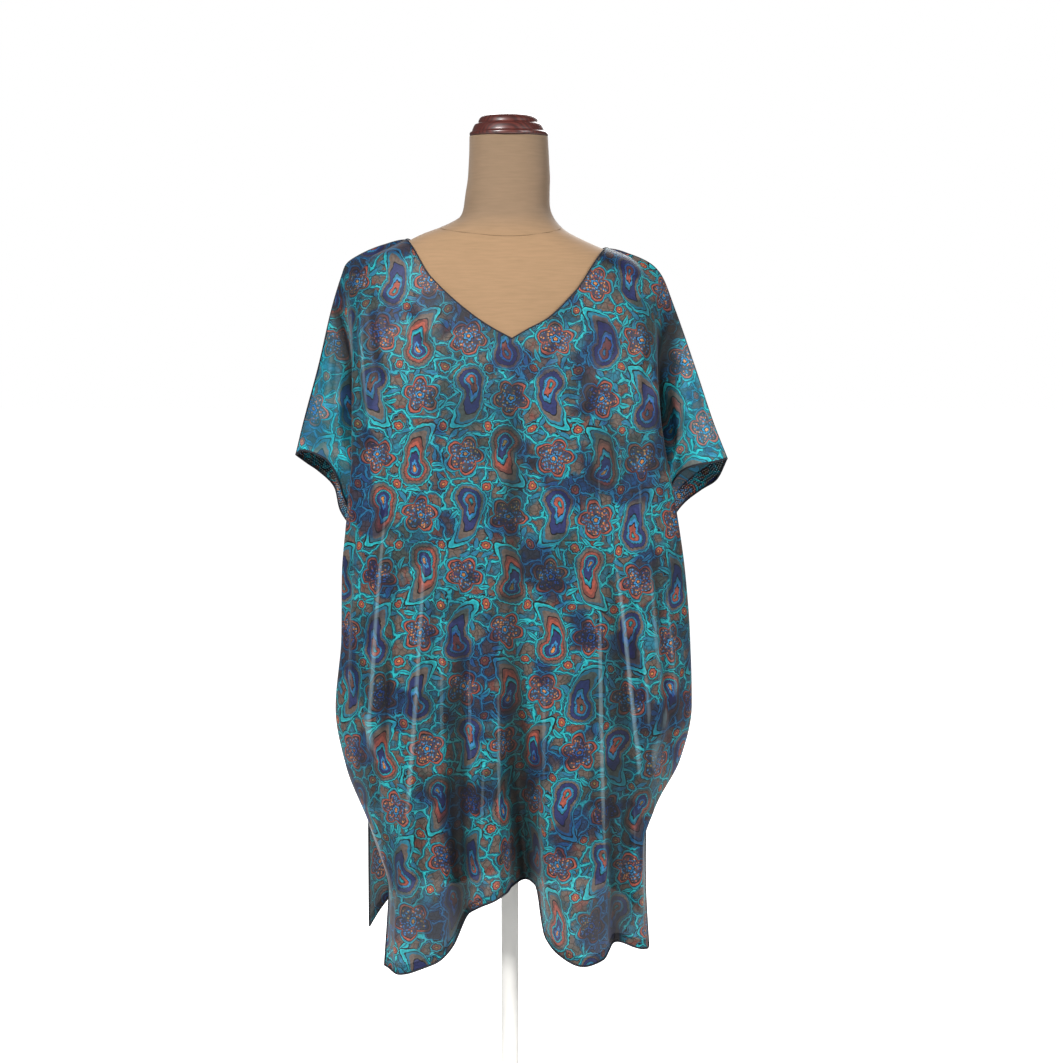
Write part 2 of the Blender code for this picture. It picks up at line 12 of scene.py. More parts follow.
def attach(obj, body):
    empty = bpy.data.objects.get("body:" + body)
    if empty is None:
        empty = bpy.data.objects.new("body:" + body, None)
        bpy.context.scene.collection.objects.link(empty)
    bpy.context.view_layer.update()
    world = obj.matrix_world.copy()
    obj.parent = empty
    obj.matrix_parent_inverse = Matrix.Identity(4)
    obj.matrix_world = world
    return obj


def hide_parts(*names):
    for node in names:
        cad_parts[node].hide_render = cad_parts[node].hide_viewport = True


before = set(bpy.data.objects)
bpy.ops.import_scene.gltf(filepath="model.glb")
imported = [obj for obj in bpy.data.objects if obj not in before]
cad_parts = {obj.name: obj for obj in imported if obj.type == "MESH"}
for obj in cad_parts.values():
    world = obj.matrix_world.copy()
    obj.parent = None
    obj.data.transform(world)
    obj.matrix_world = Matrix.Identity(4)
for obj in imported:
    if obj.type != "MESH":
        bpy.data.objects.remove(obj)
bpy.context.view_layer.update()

# ---------------------------------------------------------------------------------------------------------
# Camera. The photograph was taken from the front, a little above the middle of the kaftan, with a long lens.
CAMERA_AIM = Vector((0.0308, 0.0, 0.9219))
CAMERA_TILT = math.radians(6.5)
CAMERA_DISTANCE = 2.89
PHOTO_PIXELS, PIXEL_SIZE, SENSOR_WIDTH = 1063, 0.0014, 36.0

camera = bpy.data.objects.new("camera", bpy.data.cameras.new("camera"))
camera.data.sensor_width = SENSOR_WIDTH
camera.data.lens = SENSOR_WIDTH * CAMERA_DISTANCE / (PHOTO_PIXELS * PIXEL_SIZE)
camera.location = CAMERA_AIM + CAMERA_DISTANCE * Vector((0.0, -math.cos(CAMERA_TILT), math.sin(CAMERA_TILT)))
camera.rotation_euler = (math.pi / 2 - CAMERA_TILT, 0.0, 0.0)
bpy.context.scene.collection.objects.link(camera)
bpy.context.scene.camera = camera

# ---------------------------------------------------------------------------------------------------------
# Stand. A steel pole screwed into a heavy round base, both powder coated off-white with a satin finish.
STAND_WHITE = "#E9E7E2"
# How many bumps of the coat go to a metre.
PEEL_PER_METRE = 900.0


def linear(hex_colour):
    """An sRGB hex colour as linear RGBA."""
    parts = [int(hex_colour[i : i + 2], 16) / 255 for i in (1, 3, 5)]
    return (*[p / 12.92 if p <= 0.04045 else ((p + 0.055) / 1.055) ** 2.4 for p in parts], 1.0)


def node(tree, kind, links=(), **settings):
    """Adds a shader node, with its settings and with links or values for its inputs."""
    made = tree.nodes.new("ShaderNode" + kind)
    for name, value in settings.items():
        setattr(made, name, value)
    for key, value in dict(links).items():
        if isinstance(value, bpy.types.NodeSocket):
            tree.links.new(value, made.inputs[key])
        else:
            made.inputs[key].default_value = value
    return made


def new_material(name):
    """An empty node material with its output, as (material, tree, output)."""
    material = bpy.data.materials.new(name)
    material.use_nodes = True
    material.node_tree.nodes.clear()
    output = material.node_tree.nodes.new("ShaderNodeOutputMaterial")
    return material, material.node_tree, output


# Powder coat: a faint orange peel that breaks up the highlight.
paint, tree, output = new_material("satin powder coat")
place = node(tree, "TexCoord").outputs["Object"]
peel = node(tree, "TexNoise", {"Vector": place, "Scale": PEEL_PER_METRE, "Detail": 2.0}).outputs["Fac"]
bump = node(tree, "Bump", {"Height": peel, "Strength": 0.15, "Distance": 0.0004})
shader = node(
    tree,
    "BsdfPrincipled",
    {"Base Color": linear(STAND_WHITE), "Roughness": 0.34, "Normal": bump.outputs["Normal"]},
)
tree.links.new(shader.outputs["BSDF"], output.inputs["Surface"])

BASE_RADIUS, BASE_THICKNESS, BASE_EDGE, FOOT_BEVEL = 0.160, 0.016, 0.004, 0.001
# The shallow seat in the base on which the pole's collar stands.
SEAT_RADIUS, SEAT_DEPTH, SEAT_SLOPE = 0.030, 0.0004, 0.0005
POLE_RADIUS, POLE_TOP = 0.0125, 0.6247
COLLAR = [
    # radius, height above the base
    (0.0250, 0.0003),
    (0.0250, 0.0060),
    (0.0235, 0.0085),
    (0.0150, 0.0120),
    (POLE_RADIUS, 0.0200),
]
# A turned profile ends this far from its axis, and a flat face closes it.
AXIS_HOLE, WELD = 0.002, 1e-6


def turned(name, profile, around, material):
    """A turned piece, from its profile of (radius, height) points from the bottom up, closed at both ends."""
    bm = bmesh.new()
    verts = [bm.verts.new((radius, 0.0, height)) for radius, height in profile]
    edges = [bm.edges.new(pair) for pair in zip(verts, verts[1:])]
    turn = {"cent": (0, 0, 0), "axis": (0, 0, 1), "angle": 2 * math.pi, "steps": around}
    bmesh.ops.spin(bm, geom=verts + edges, use_merge=True, **turn)
    bmesh.ops.remove_doubles(bm, verts=bm.verts, dist=WELD)
    bmesh.ops.holes_fill(bm, edges=bm.edges, sides=around)
    bmesh.ops.recalc_face_normals(bm, faces=bm.faces)
    return finish_mesh(name, bm, material)


def finish_mesh(name, bm, material, sharp=math.radians(40)):
    """Makes a bmesh into a smooth-shaded object with its material."""
    mesh = bpy.data.meshes.new(name)
    bm.to_mesh(mesh)
    bm.free()
    mesh.materials.append(material)
    mesh.shade_smooth()
    if sharp:
        mesh.set_sharp_from_angle(angle=sharp)
    made = bpy.data.objects.new(name, mesh)
    bpy.context.scene.collection.objects.link(made)
    return made


def rounded(corner, towards_a, towards_b, radius, steps=6):
    """Points of a round edge at a corner between two directions of a profile."""
    a, b = Vector(towards_a).normalized(), Vector(towards_b).normalized()
    centre = Vector(corner) + radius * (a + b)
    return [
        tuple(centre - radius * (b * math.cos(t) + a * math.sin(t)))
        for t in [i * math.pi / 2 / steps for i in range(steps + 1)]
    ]


profile = [(AXIS_HOLE, 0.0), (BASE_RADIUS - FOOT_BEVEL, 0.0), (BASE_RADIUS, FOOT_BEVEL)]
profile += rounded((BASE_RADIUS, BASE_THICKNESS), (-1, 0), (0, -1), BASE_EDGE)[::-1]
seat = BASE_THICKNESS - SEAT_DEPTH
profile += [(SEAT_RADIUS, BASE_THICKNESS), (SEAT_RADIUS - SEAT_SLOPE, seat), (AXIS_HOLE, seat)]
base = turned("stand_base_turned", profile, 160, paint)
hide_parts("stand_base")
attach(base, "root")

profile = [(AXIS_HOLE, BASE_THICKNESS + COLLAR[0][1])]
profile += [(radius, BASE_THICKNESS + height) for radius, height in COLLAR]
profile += [(POLE_RADIUS, POLE_TOP), (AXIS_HOLE, POLE_TOP)]
pole = turned("stand_pole_turned", profile, 64, paint)
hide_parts("stand_pole")
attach(pole, "root")

# ---------------------------------------------------------------------------------------------------------
# Dress form. Foam padding over a shell, covered in beige linen jersey that is drawn tight and sewn to the
# cover of the neck with one seam round its base.
FORM_ROUNDNESS = 2.3
FORM_SECTIONS = [
    # height, half width, front, back, shift to the side
    (1.4662, 0.0537, 0.0500, 0.0570, -0.0005),
    (1.4400, 0.0548, 0.0510, 0.0580, 0.0000),
    (1.4145, 0.0562, 0.0525, 0.0590, 0.0000),
    (1.3870, 0.0580, 0.0545, 0.0605, -0.0022),
    (1.3720, 0.0592, 0.0560, 0.0620, -0.0030),
    (1.3590, 0.0632, 0.0580, 0.0630, -0.0030),
    (1.3470, 0.0772, 0.0605, 0.0640, -0.0087),
    (1.3320, 0.1070, 0.0630, 0.0650, -0.0175),
    (1.3165, 0.1390, 0.0660, 0.0670, -0.0160),
    (1.2980, 0.1800, 0.0710, 0.0710, -0.0120),
    (1.2800, 0.1950, 0.0780, 0.0770, -0.0095),
    (1.2500, 0.2020, 0.0880, 0.0840, -0.0060),
    (1.2050, 0.1970, 0.0990, 0.0910, -0.0030),
    (1.1550, 0.1820, 0.1100, 0.0960, 0.0000),
    (1.1000, 0.1690, 0.1170, 0.0980, 0.0000),
    (1.0300, 0.1550, 0.1060, 0.0940, 0.0000),
    (0.9500, 0.1420, 0.0920, 0.0880, 0.0000),
    (0.8700, 0.1550, 0.0940, 0.0990, 0.0000),
    (0.7800, 0.1780, 0.1000, 0.1120, 0.0000),
    (0.7100, 0.1790, 0.0990, 0.1100, 0.0000),
    (0.6550, 0.1710, 0.0920, 0.1010, 0.0000),
    (0.6350, 0.1590, 0.0840, 0.0920, 0.0000),
    (0.6250, 0.1380, 0.0690, 0.0780, 0.0000),
]
FORM_AROUND, FORM_HEIGHTS = 180, 200
LINEN_LIGHT, LINEN_DARK, NECK_PAINTED_SHADE, LINEN_THREAD = "#8F7152", "#84694B", "#DCE2EE", "#46311F"
LINEN_RIB_PITCH = 0.0016
# How many slubs, along each axis, and how many patches of handled cloth go to a metre.
SLUBS_PER_METRE, PATCHES_PER_METRE = (40.0, 40.0, 420.0), 9.0
RIB_WEIGHT, PATCH_WEIGHT = 0.12, 0.5
NECK_SEAM_FRONT, NECK_SEAM_BACK, SEAM_DEPTH, SEAM_WIDTH = 1.3300, 1.3620, 0.0007, 0.0011


def smooth(knots, values, at):
    """Curve through the values at the knots that never overshoots them, read at the given places."""
    knots = np.asarray(knots, float)
    values = np.asarray(values, float).reshape(len(knots), -1)
    step = np.diff(knots)[:, None]
    slope = np.diff(values, axis=0) / step
    tangent = np.zeros_like(values)
    tangent[0], tangent[-1] = slope[0], slope[-1]
    before, after = slope[:-1], slope[1:]
    same = before * after > 0
    weight_a, weight_b = 2 * step[1:] + step[:-1], step[1:] + 2 * step[:-1]
    safe_before = np.where(same, before, 1.0)
    safe_after = np.where(same, after, 1.0)
    mean = (weight_a + weight_b) / (weight_a / safe_before + weight_b / safe_after)
    tangent[1:-1] = np.where(same, mean, 0.0)
    at = np.clip(np.asarray(at, float), knots[0], knots[-1])
    i = np.clip(np.searchsorted(knots, at, side="right") - 1, 0, len(knots) - 2)
    u = ((at - knots[i]) / step[i, 0])[:, None]
    return (
        values[i] * (1 + 2 * u) * (1 - u) ** 2
        + tangent[i] * step[i] * u * (1 - u) ** 2
        + values[i + 1] * u * u * (3 - 2 * u)
        + tangent[i + 1] * step[i] * u * u * (u - 1)
    )


def ease(low, high, at):
    """0 below low, 1 above high, and a smooth step between them."""
    u = np.clip((at - low) / (high - low), 0, 1)
    return u * u * (3 - 2 * u)


def grid_mesh(points, wrap=False):
    """A bmesh grid placed at rows of points. One that is wrapped closes on itself."""
    rows, columns = points.shape[:2]
    bm = bmesh.new()
    verts = bmesh.ops.create_grid(bm, x_segments=columns - 1, y_segments=rows - 1, size=1.0)["verts"]
    for vert, point in zip(verts, points.reshape(-1, 3)):
        vert.co = point
    if wrap:
        bmesh.ops.remove_doubles(bm, verts=bm.verts, dist=WELD)
    return bm


def form_points(heights, around):
    """Rows of points round the dress form, from the top of its neck down, each row closed on itself."""
    table = np.array(FORM_SECTIONS)[::-1]
    angles = np.linspace(0, 2 * math.pi, around + 1)
    angles[-1] = 0.0
    power = 2 / FORM_ROUNDNESS
    across = np.sign(np.cos(angles)) * np.abs(np.cos(angles)) ** power
    deep = np.sign(np.sin(angles)) * np.abs(np.sin(angles)) ** power
    half, front, back, shift = smooth(table[:, 0], table[:, 1:], heights).T[:, :, None]
    depth = np.where(deep < 0, front, back) * deep
    return np.stack([shift + half * across, depth, np.broadcast_to(heights[:, None], depth.shape)], axis=2)


def neck_seam_height(sine):
    """Height of the seam round the neck, which rises to the back, from the sine of the angle round it."""
    return (NECK_SEAM_FRONT + NECK_SEAM_BACK) / 2 + (NECK_SEAM_BACK - NECK_SEAM_FRONT) / 2 * sine


top, bottom = FORM_SECTIONS[0][0], FORM_SECTIONS[-1][0]
heights = top - (top - bottom) * np.linspace(0, 1, FORM_HEIGHTS)
points = form_points(heights, FORM_AROUND)
outward = points * np.array([1, 1, 0])
outward /= np.linalg.norm(outward, axis=2, keepdims=True)
from_seam = points[:, :, 2] - neck_seam_height(outward[:, :, 1])
points = points - outward * (SEAM_DEPTH * np.exp(-((from_seam / SEAM_WIDTH) ** 2)))[..., None]

bm = grid_mesh(points, wrap=True)
bmesh.ops.holes_fill(bm, edges=bm.edges, sides=FORM_AROUND)
bmesh.ops.recalc_face_normals(bm, faces=bm.faces)


def stops(tree, share, colours, interpolation="LINEAR"):
    """The colour at a share, from (position, hex colour) stops."""
    made = node(tree, "ValToRGB", {"Fac": share})
    ramp = made.color_ramp
    ramp.interpolation = interpolation
    ramp.elements.remove(ramp.elements[-1])
    ramp.elements[0].position, ramp.elements[0].color = colours[0][0], linear(colours[0][1])
    for position, colour in colours[1:]:
        ramp.elements.new(position).color = linear(colour)
    return made.outputs["Color"]


# Linen jersey: a fine knit that is nearly smooth from a step away, a little uneven in tone where the yarn
# thickens, and darkened and cooled on the neck as painted shade. Its ribs are drawn about twice as coarse as
# the real ones, because those are too fine to show.
linen, tree, output = new_material("beige linen jersey")
place = node(tree, "TexCoord").outputs["Object"]
ribs = node(
    tree,
    "TexWave",
    {"Vector": place, "Scale": math.pi / 10 / LINEN_RIB_PITCH, "Distortion": 1.5, "Detail": 1.0},
    bands_direction="Z",
).outputs["Fac"]
slub_place = node(tree, "Mapping", {"Vector": place, "Scale": SLUBS_PER_METRE}).outputs["Vector"]
slubs = node(tree, "TexNoise", {"Vector": slub_place, "Scale": 1.0, "Detail": 3.0}).outputs["Fac"]
tone = node(tree, "Math", {0: ribs, 1: RIB_WEIGHT, 2: slubs}, operation="MULTIPLY_ADD").outputs[0]
handled = node(tree, "TexNoise", {"Vector": place, "Scale": PATCHES_PER_METRE, "Detail": 3.0}).outputs["Fac"]
tone = node(tree, "Math", {0: handled, 1: PATCH_WEIGHT, 2: tone}, operation="MULTIPLY_ADD").outputs[0]
cover = stops(tree, tone, [(0.50, LINEN_DARK), (1.00, LINEN_LIGHT)])
# Painted shade: above the seam, the neck's colour is multiplied darker and cooler.
height = node(tree, "SeparateXYZ", {"Vector": place}).outputs["Z"]
on_neck = node(
    tree, "MapRange", {"Value": height, "From Min": NECK_SEAM_FRONT, "From Max": NECK_SEAM_BACK}
).outputs[0]
cover = node(
    tree,
    "Mix",
    {0: on_neck, 6: cover, 7: linear(NECK_PAINTED_SHADE)},
    data_type="RGBA",
    blend_type="MULTIPLY",
).outputs[2]
bump = node(tree, "Bump", {"Height": tone, "Strength": 0.2, "Distance": 0.0004}).outputs["Normal"]
shader = node(
    tree,
    "BsdfPrincipled",
    {
        "Base Color": cover,
        "Roughness": 0.86,
        "Sheen Weight": 0.2,
        "Sheen Roughness": 0.5,
        "Normal": bump,
    },
)
tree.links.new(shader.outputs["BSDF"], output.inputs["Surface"])

torso = finish_mesh("form_torso_cover", bm, linen)
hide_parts("form_torso")
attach(torso, "root")


def seam_tube(name, path, radius, material, closed=False):
    """A thin round cord of thread or rolled cloth along a path of points, as a mesh."""
    curve = bpy.data.curves.new(name, "CURVE")
    curve.dimensions = "3D"
    curve.bevel_depth = radius
    curve.bevel_resolution = 1
    curve.use_fill_caps = not closed
    spline = curve.splines.new("POLY")
    spline.points.add(len(path) - 1)
    for point, place_at in zip(spline.points, path):
        point.co = (*place_at, 1.0)
    spline.use_cyclic_u = closed
    holder = bpy.data.objects.new(name, curve)
    mesh = bpy.data.meshes.new_from_object(holder)
    bpy.data.objects.remove(holder)
    mesh.name = name
    mesh.materials.clear()
    mesh.materials.append(material)
    mesh.shade_smooth()
    made = bpy.data.objects.new(name, mesh)
    bpy.context.scene.collection.objects.link(made)
    return made


# Seam thread: a darker line of stitching lying in the groove at the base of the neck.
NECK_THREAD_RADIUS, NECK_THREAD_SUNK = 0.0004, 0.0003
RING_POINTS, RING_SEARCH = 240, 720
TWISTS_PER_METRE = 1500.0
thread, tree, output = new_material("linen seam thread")
place = node(tree, "TexCoord").outputs["Object"]
twist = node(tree, "TexNoise", {"Vector": place, "Scale": TWISTS_PER_METRE, "Detail": 1.0}).outputs["Fac"]
colour = node(tree, "Mix", {0: twist, 6: linear(LINEN_THREAD), 7: linear(LINEN_DARK)}, data_type="RGBA")
shader = node(tree, "BsdfPrincipled", {"Base Color": colour.outputs[2], "Roughness": 0.8})
tree.links.new(shader.outputs["BSDF"], output.inputs["Surface"])

ring = []
for angle in np.linspace(0, 2 * math.pi, RING_POINTS + 1)[:-1]:
    row = form_points(np.array([neck_seam_height(math.sin(angle))]), RING_SEARCH)[0]
    direction = row[:, :2] / np.linalg.norm(row[:, :2], axis=1, keepdims=True)
    nearest = np.argmax(direction @ np.array([math.cos(angle), math.sin(angle)]))
    ring.append(row[nearest] - np.array([*direction[nearest], 0.0]) * NECK_THREAD_SUNK)
neck_seam = seam_tube("neck_seam_thread", ring, NECK_THREAD_RADIUS, thread, closed=True)
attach(neck_seam, "root")

# ---------------------------------------------------------------------------------------------------------
# Neck cap. Turned from one piece of mahogany, with a rim, a hollow step and a low dome, and lacquered.
CAP_UNDERSIDE, CAP_TOP = 1.4665, 1.4968
MAHOGANY_DARK, MAHOGANY_MID, MAHOGANY_RED = "#34110E", "#451813", "#57231B"
GRAIN_WIDTH, GRAIN_STRETCH, GRAIN_TURN = 0.0035, (0.15, 1.0, 1.0), (0.1, 0.2, 0.5)
PORES_PER_METRE = (200.0, 1600.0, 1600.0)
profile = [
    # radius, height
    (AXIS_HOLE, CAP_UNDERSIDE),
    (0.0500, CAP_UNDERSIDE),
    (0.0530, 1.4671),
    (0.0540, 1.4684),
    (0.0540, 1.4705),
    (0.0533, 1.4719),
    (0.0517, 1.4727),
    (0.0508, 1.4734),
    (0.0506, 1.4742),
    (0.0500, 1.4760),
    (0.0490, 1.4784),
    (0.0480, 1.4806),
    (0.0470, 1.4822),
    (0.0462, 1.4829),
    (0.0450, 1.4834),
    (0.0436, 1.4838),
    (0.0426, 1.4846),
    (0.0420, 1.4862),
    (0.0415, 1.4882),
    (0.0405, 1.4902),
    (0.0388, 1.4922),
    (0.0355, 1.4940),
    (0.0300, 1.4953),
    (0.0200, 1.4962),
    (0.0100, 1.4966),
    (AXIS_HOLE, CAP_TOP),
]
# Mahogany: red-brown growth bands with fine dark pores along the grain, under a satin lacquer.
mahogany, tree, output = new_material("lacquered mahogany")
place = node(tree, "TexCoord").outputs["Object"]
grain = node(
    tree, "Mapping", {"Vector": place, "Scale": GRAIN_STRETCH, "Rotation": GRAIN_TURN}
).outputs["Vector"]
bands = node(
    tree,
    "TexWave",
    {"Vector": grain, "Scale": math.pi / 10 / GRAIN_WIDTH, "Distortion": 6.0, "Detail": 3.0},
    bands_direction="Y",
).outputs["Fac"]
pore_place = node(tree, "Mapping", {"Vector": grain, "Scale": PORES_PER_METRE}).outputs["Vector"]
pores = node(tree, "TexNoise", {"Vector": pore_place, "Scale": 1.0, "Detail": 2.0}).outputs["Fac"]
mix = node(tree, "Math", {0: bands, 1: pores}, operation="MULTIPLY").outputs[0]
colour = stops(tree, mix, [(0.05, MAHOGANY_DARK), (0.28, MAHOGANY_MID), (0.55, MAHOGANY_RED)])
shader = node(
    tree,
    "BsdfPrincipled",
    {"Base Color": colour, "Roughness": 0.42, "Coat Weight": 0.7, "Coat Roughness": 0.2},
)
tree.links.new(shader.outputs["BSDF"], output.inputs["Surface"])

cap = turned("neck_cap_turned", profile, 160, mahogany)
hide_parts("neck_cap")
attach(cap, "root")

# ---------------------------------------------------------------------------------------------------------
# Front panel. Printed silk chiffon, cut in one with both front half sleeves and a V neck. It hangs from the
# shoulders over the chest, and its spare width falls into long folds down the middle and at both sides.
CLOTH_TO_FORM, CLOTH_SOFTNESS, SEAM_HALF_GAP = 0.0030, 0.0060, 0.0006
NECK_HALF, SHOULDER_HALF, SLEEVE_HALF = 0.146, 0.235, 0.500
NECK_TURN = 0.003
SHOULDER_EDGE = {
    # flat distance from the centre, out, height
    "left": [
        (NECK_HALF, 0.1435, 1.3261),
        (0.176, 0.1729, 1.3193),
        (0.212, 0.2063, 1.3056),
        (SHOULDER_HALF, 0.2251, 1.2919),
        (0.249, 0.2306, 1.2780),
        (0.292, 0.2437, 1.2371),
        (0.377, 0.2640, 1.1544),
        (0.462, 0.2872, 1.0711),
        (SLEEVE_HALF, 0.2975, 1.0300),
    ],
    "right": [
        (NECK_HALF, 0.1376, 1.3138),
        (0.178, 0.1690, 1.3056),
        (0.212, 0.1970, 1.2919),
        (SHOULDER_HALF, 0.2095, 1.2780),
        (0.276, 0.2265, 1.2371),
        (0.363, 0.2562, 1.1544),
        (0.451, 0.2848, 1.0711),
        (SLEEVE_HALF, 0.3034, 1.0250),
    ],
}
FRONT_NECK = {
    # flat distance from the centre, out, height
    "left": [
        (0.0, -0.0047, 1.1930),
        (0.028, 0.0240, 1.2085),
        (0.056, 0.0520, 1.2275),
        (0.110, 0.1060, 1.2765),
    ],
    "right": [
        (0.0, 0.0047, 1.1930),
        (0.028, 0.0270, 1.2060),
        (0.056, 0.0500, 1.2180),
        (0.098, 0.0900, 1.2560),
    ],
}
FRONT_GUIDES = {
    # height, depth of the flat front, then out and depth of the body fold, the groove behind it and the face
    "left": [
        (1.230, -0.098, 0.2140, -0.048, 0.2290, -0.012, 0.2440, -0.020),
        (1.150, -0.116, 0.2120, -0.076, 0.2190, -0.012, 0.2560, -0.018),
        (1.090, -0.123, 0.2120, -0.084, 0.2120, -0.010, 0.2420, -0.024),
        (1.030, -0.126, 0.2130, -0.087, 0.2060, -0.012, 0.2260, -0.028),
        (0.980, -0.128, 0.2170, -0.084, 0.2020, -0.020, 0.2130, -0.028),
        (0.930, -0.129, 0.2230, -0.078, 0.1990, -0.032, 0.2050, -0.020),
        (0.870, -0.130, 0.2290, -0.070, 0.2060, -0.034, 0.2060, -0.014),
        (0.780, -0.131, 0.2315, -0.062, 0.2200, -0.028, 0.2080, -0.007),
        (0.680, -0.131, 0.2410, -0.056, 0.2330, -0.024, 0.2180, -0.004),
        (0.600, -0.129, 0.2270, -0.058, 0.2220, -0.028, 0.2110, -0.008),
        (0.515, -0.126, 0.1900, -0.076, 0.1960, -0.048, 0.1980, -0.022),
        (0.420, -0.124, 0.1560, -0.106, 0.1640, -0.090, 0.1670, -0.076),
        (0.330, -0.122, 0.1500, -0.126, 0.1610, -0.118, 0.1680, -0.110),
    ],
    "right": [
        (1.230, -0.098, 0.1940, -0.048, 0.2100, -0.012, 0.2280, -0.020),
        (1.150, -0.116, 0.1960, -0.076, 0.2080, -0.012, 0.2520, -0.018),
        (1.090, -0.123, 0.2040, -0.084, 0.2080, -0.010, 0.2400, -0.024),
        (1.030, -0.126, 0.2140, -0.086, 0.2080, -0.012, 0.2280, -0.028),
        (0.980, -0.128, 0.2240, -0.082, 0.2040, -0.020, 0.2130, -0.028),
        (0.930, -0.129, 0.2330, -0.076, 0.2020, -0.032, 0.2070, -0.020),
        (0.870, -0.130, 0.2420, -0.066, 0.2150, -0.034, 0.2090, -0.014),
        (0.780, -0.131, 0.2500, -0.056, 0.2330, -0.022, 0.2160, -0.003),
        (0.680, -0.131, 0.2535, -0.052, 0.2410, -0.018, 0.2210, -0.001),
        (0.600, -0.129, 0.2380, -0.052, 0.2300, -0.020, 0.2150, -0.003),
        (0.530, -0.126, 0.2020, -0.066, 0.2020, -0.040, 0.1980, -0.018),
        (0.475, -0.122, 0.1850, -0.082, 0.1870, -0.062, 0.1880, -0.044),
        (0.420, -0.118, 0.1840, -0.090, 0.1880, -0.074, 0.1900, -0.060),
        (0.330, -0.110, 0.1780, -0.094, 0.1870, -0.088, 0.1925, -0.082),
    ],
}
# The sleeve's open edge, the side seam, and the slit's edge: out, depth, height.
FRONT_OPENING = {
    "left": [
        (0.2880, -0.010, 1.0370),
        (0.2550, -0.022, 1.0260),
        (0.2400, -0.024, 1.0050),
        (0.2310, -0.018, 0.9760),
    ],
    "right": [
        (0.2880, -0.012, 1.0215),
        (0.2640, -0.022, 1.0184),
        (0.2420, -0.024, 1.0110),
        (0.2250, -0.018, 0.9880),
    ],
}
SIDE_SEAM = {
    "left": [
        (0.2130, 0.006, 0.915),
        (0.2050, 0.010, 0.870),
        (0.2000, 0.012, 0.800),
        (0.2060, 0.012, 0.680),
        (0.2040, 0.010, 0.600),
        (0.2010, 0.004, 0.512),
    ],
    "right": [
        (0.2130, 0.006, 0.928),
        (0.2070, 0.011, 0.870),
        (0.2020, 0.014, 0.800),
        (0.2060, 0.015, 0.680),
        (0.2030, 0.012, 0.600),
        (0.1950, 0.005, 0.530),
    ],
}
FRONT_SLIT = {
    "left": [(0.1680, -0.062, 0.420), (0.1720, -0.104, 0.326)],
    "right": [(0.1905, -0.046, 0.430), (0.1940, -0.074, 0.345)],
}
SEAM_STEP = 0.025
# How far out the two inner guides lie, as shares of the body fold, and their flat distances.
INNER_GUIDES = [(0.085, 0.38), (0.160, 0.72)]
CREST_FLAT, GROOVE_FLAT, FACE_FLAT = 0.235, 0.290, 0.370
FRONT_HEM = [
    # place on X, height
    (-0.172, 0.331),
    (-0.140, 0.329),
    (-0.107, 0.337),
    (-0.078, 0.357),
    (-0.055, 0.402),
    (-0.027, 0.426),
    (0.020, 0.441),
    (0.036, 0.436),
    (0.050, 0.368),
    (0.070, 0.352),
    (0.110, 0.341),
    (0.130, 0.342),
    (0.145, 0.358),
    (0.194, 0.348),
]
FRONT_FOLDS = [
    # place on X at the top, middle and hem, heights of top and middle, rise at the middle and the hem, width
    (0.003, 0.004, 0.030, 1.160, 0.830, -0.010, -0.062, 0.022),
    (-0.060, -0.072, -0.062, 0.860, 0.620, -0.018, -0.044, 0.019),
    (-0.112, -0.137, -0.150, 0.960, 0.690, 0.011, 0.012, 0.019),
    (-0.166, -0.188, -0.190, 0.990, 0.760, 0.008, 0.000, 0.016),
    (-0.028, -0.032, -0.014, 0.800, 0.600, 0.004, 0.012, 0.016),
    (0.070, 0.085, 0.095, 0.760, 0.560, 0.010, 0.036, 0.034),
    (0.122, 0.152, 0.150, 0.960, 0.620, -0.010, -0.024, 0.017),
    (0.146, 0.188, 0.196, 0.980, 0.760, 0.010, 0.004, 0.016),
]
FOLD_FADE, FOLD_FOOT = 0.10, 0.34
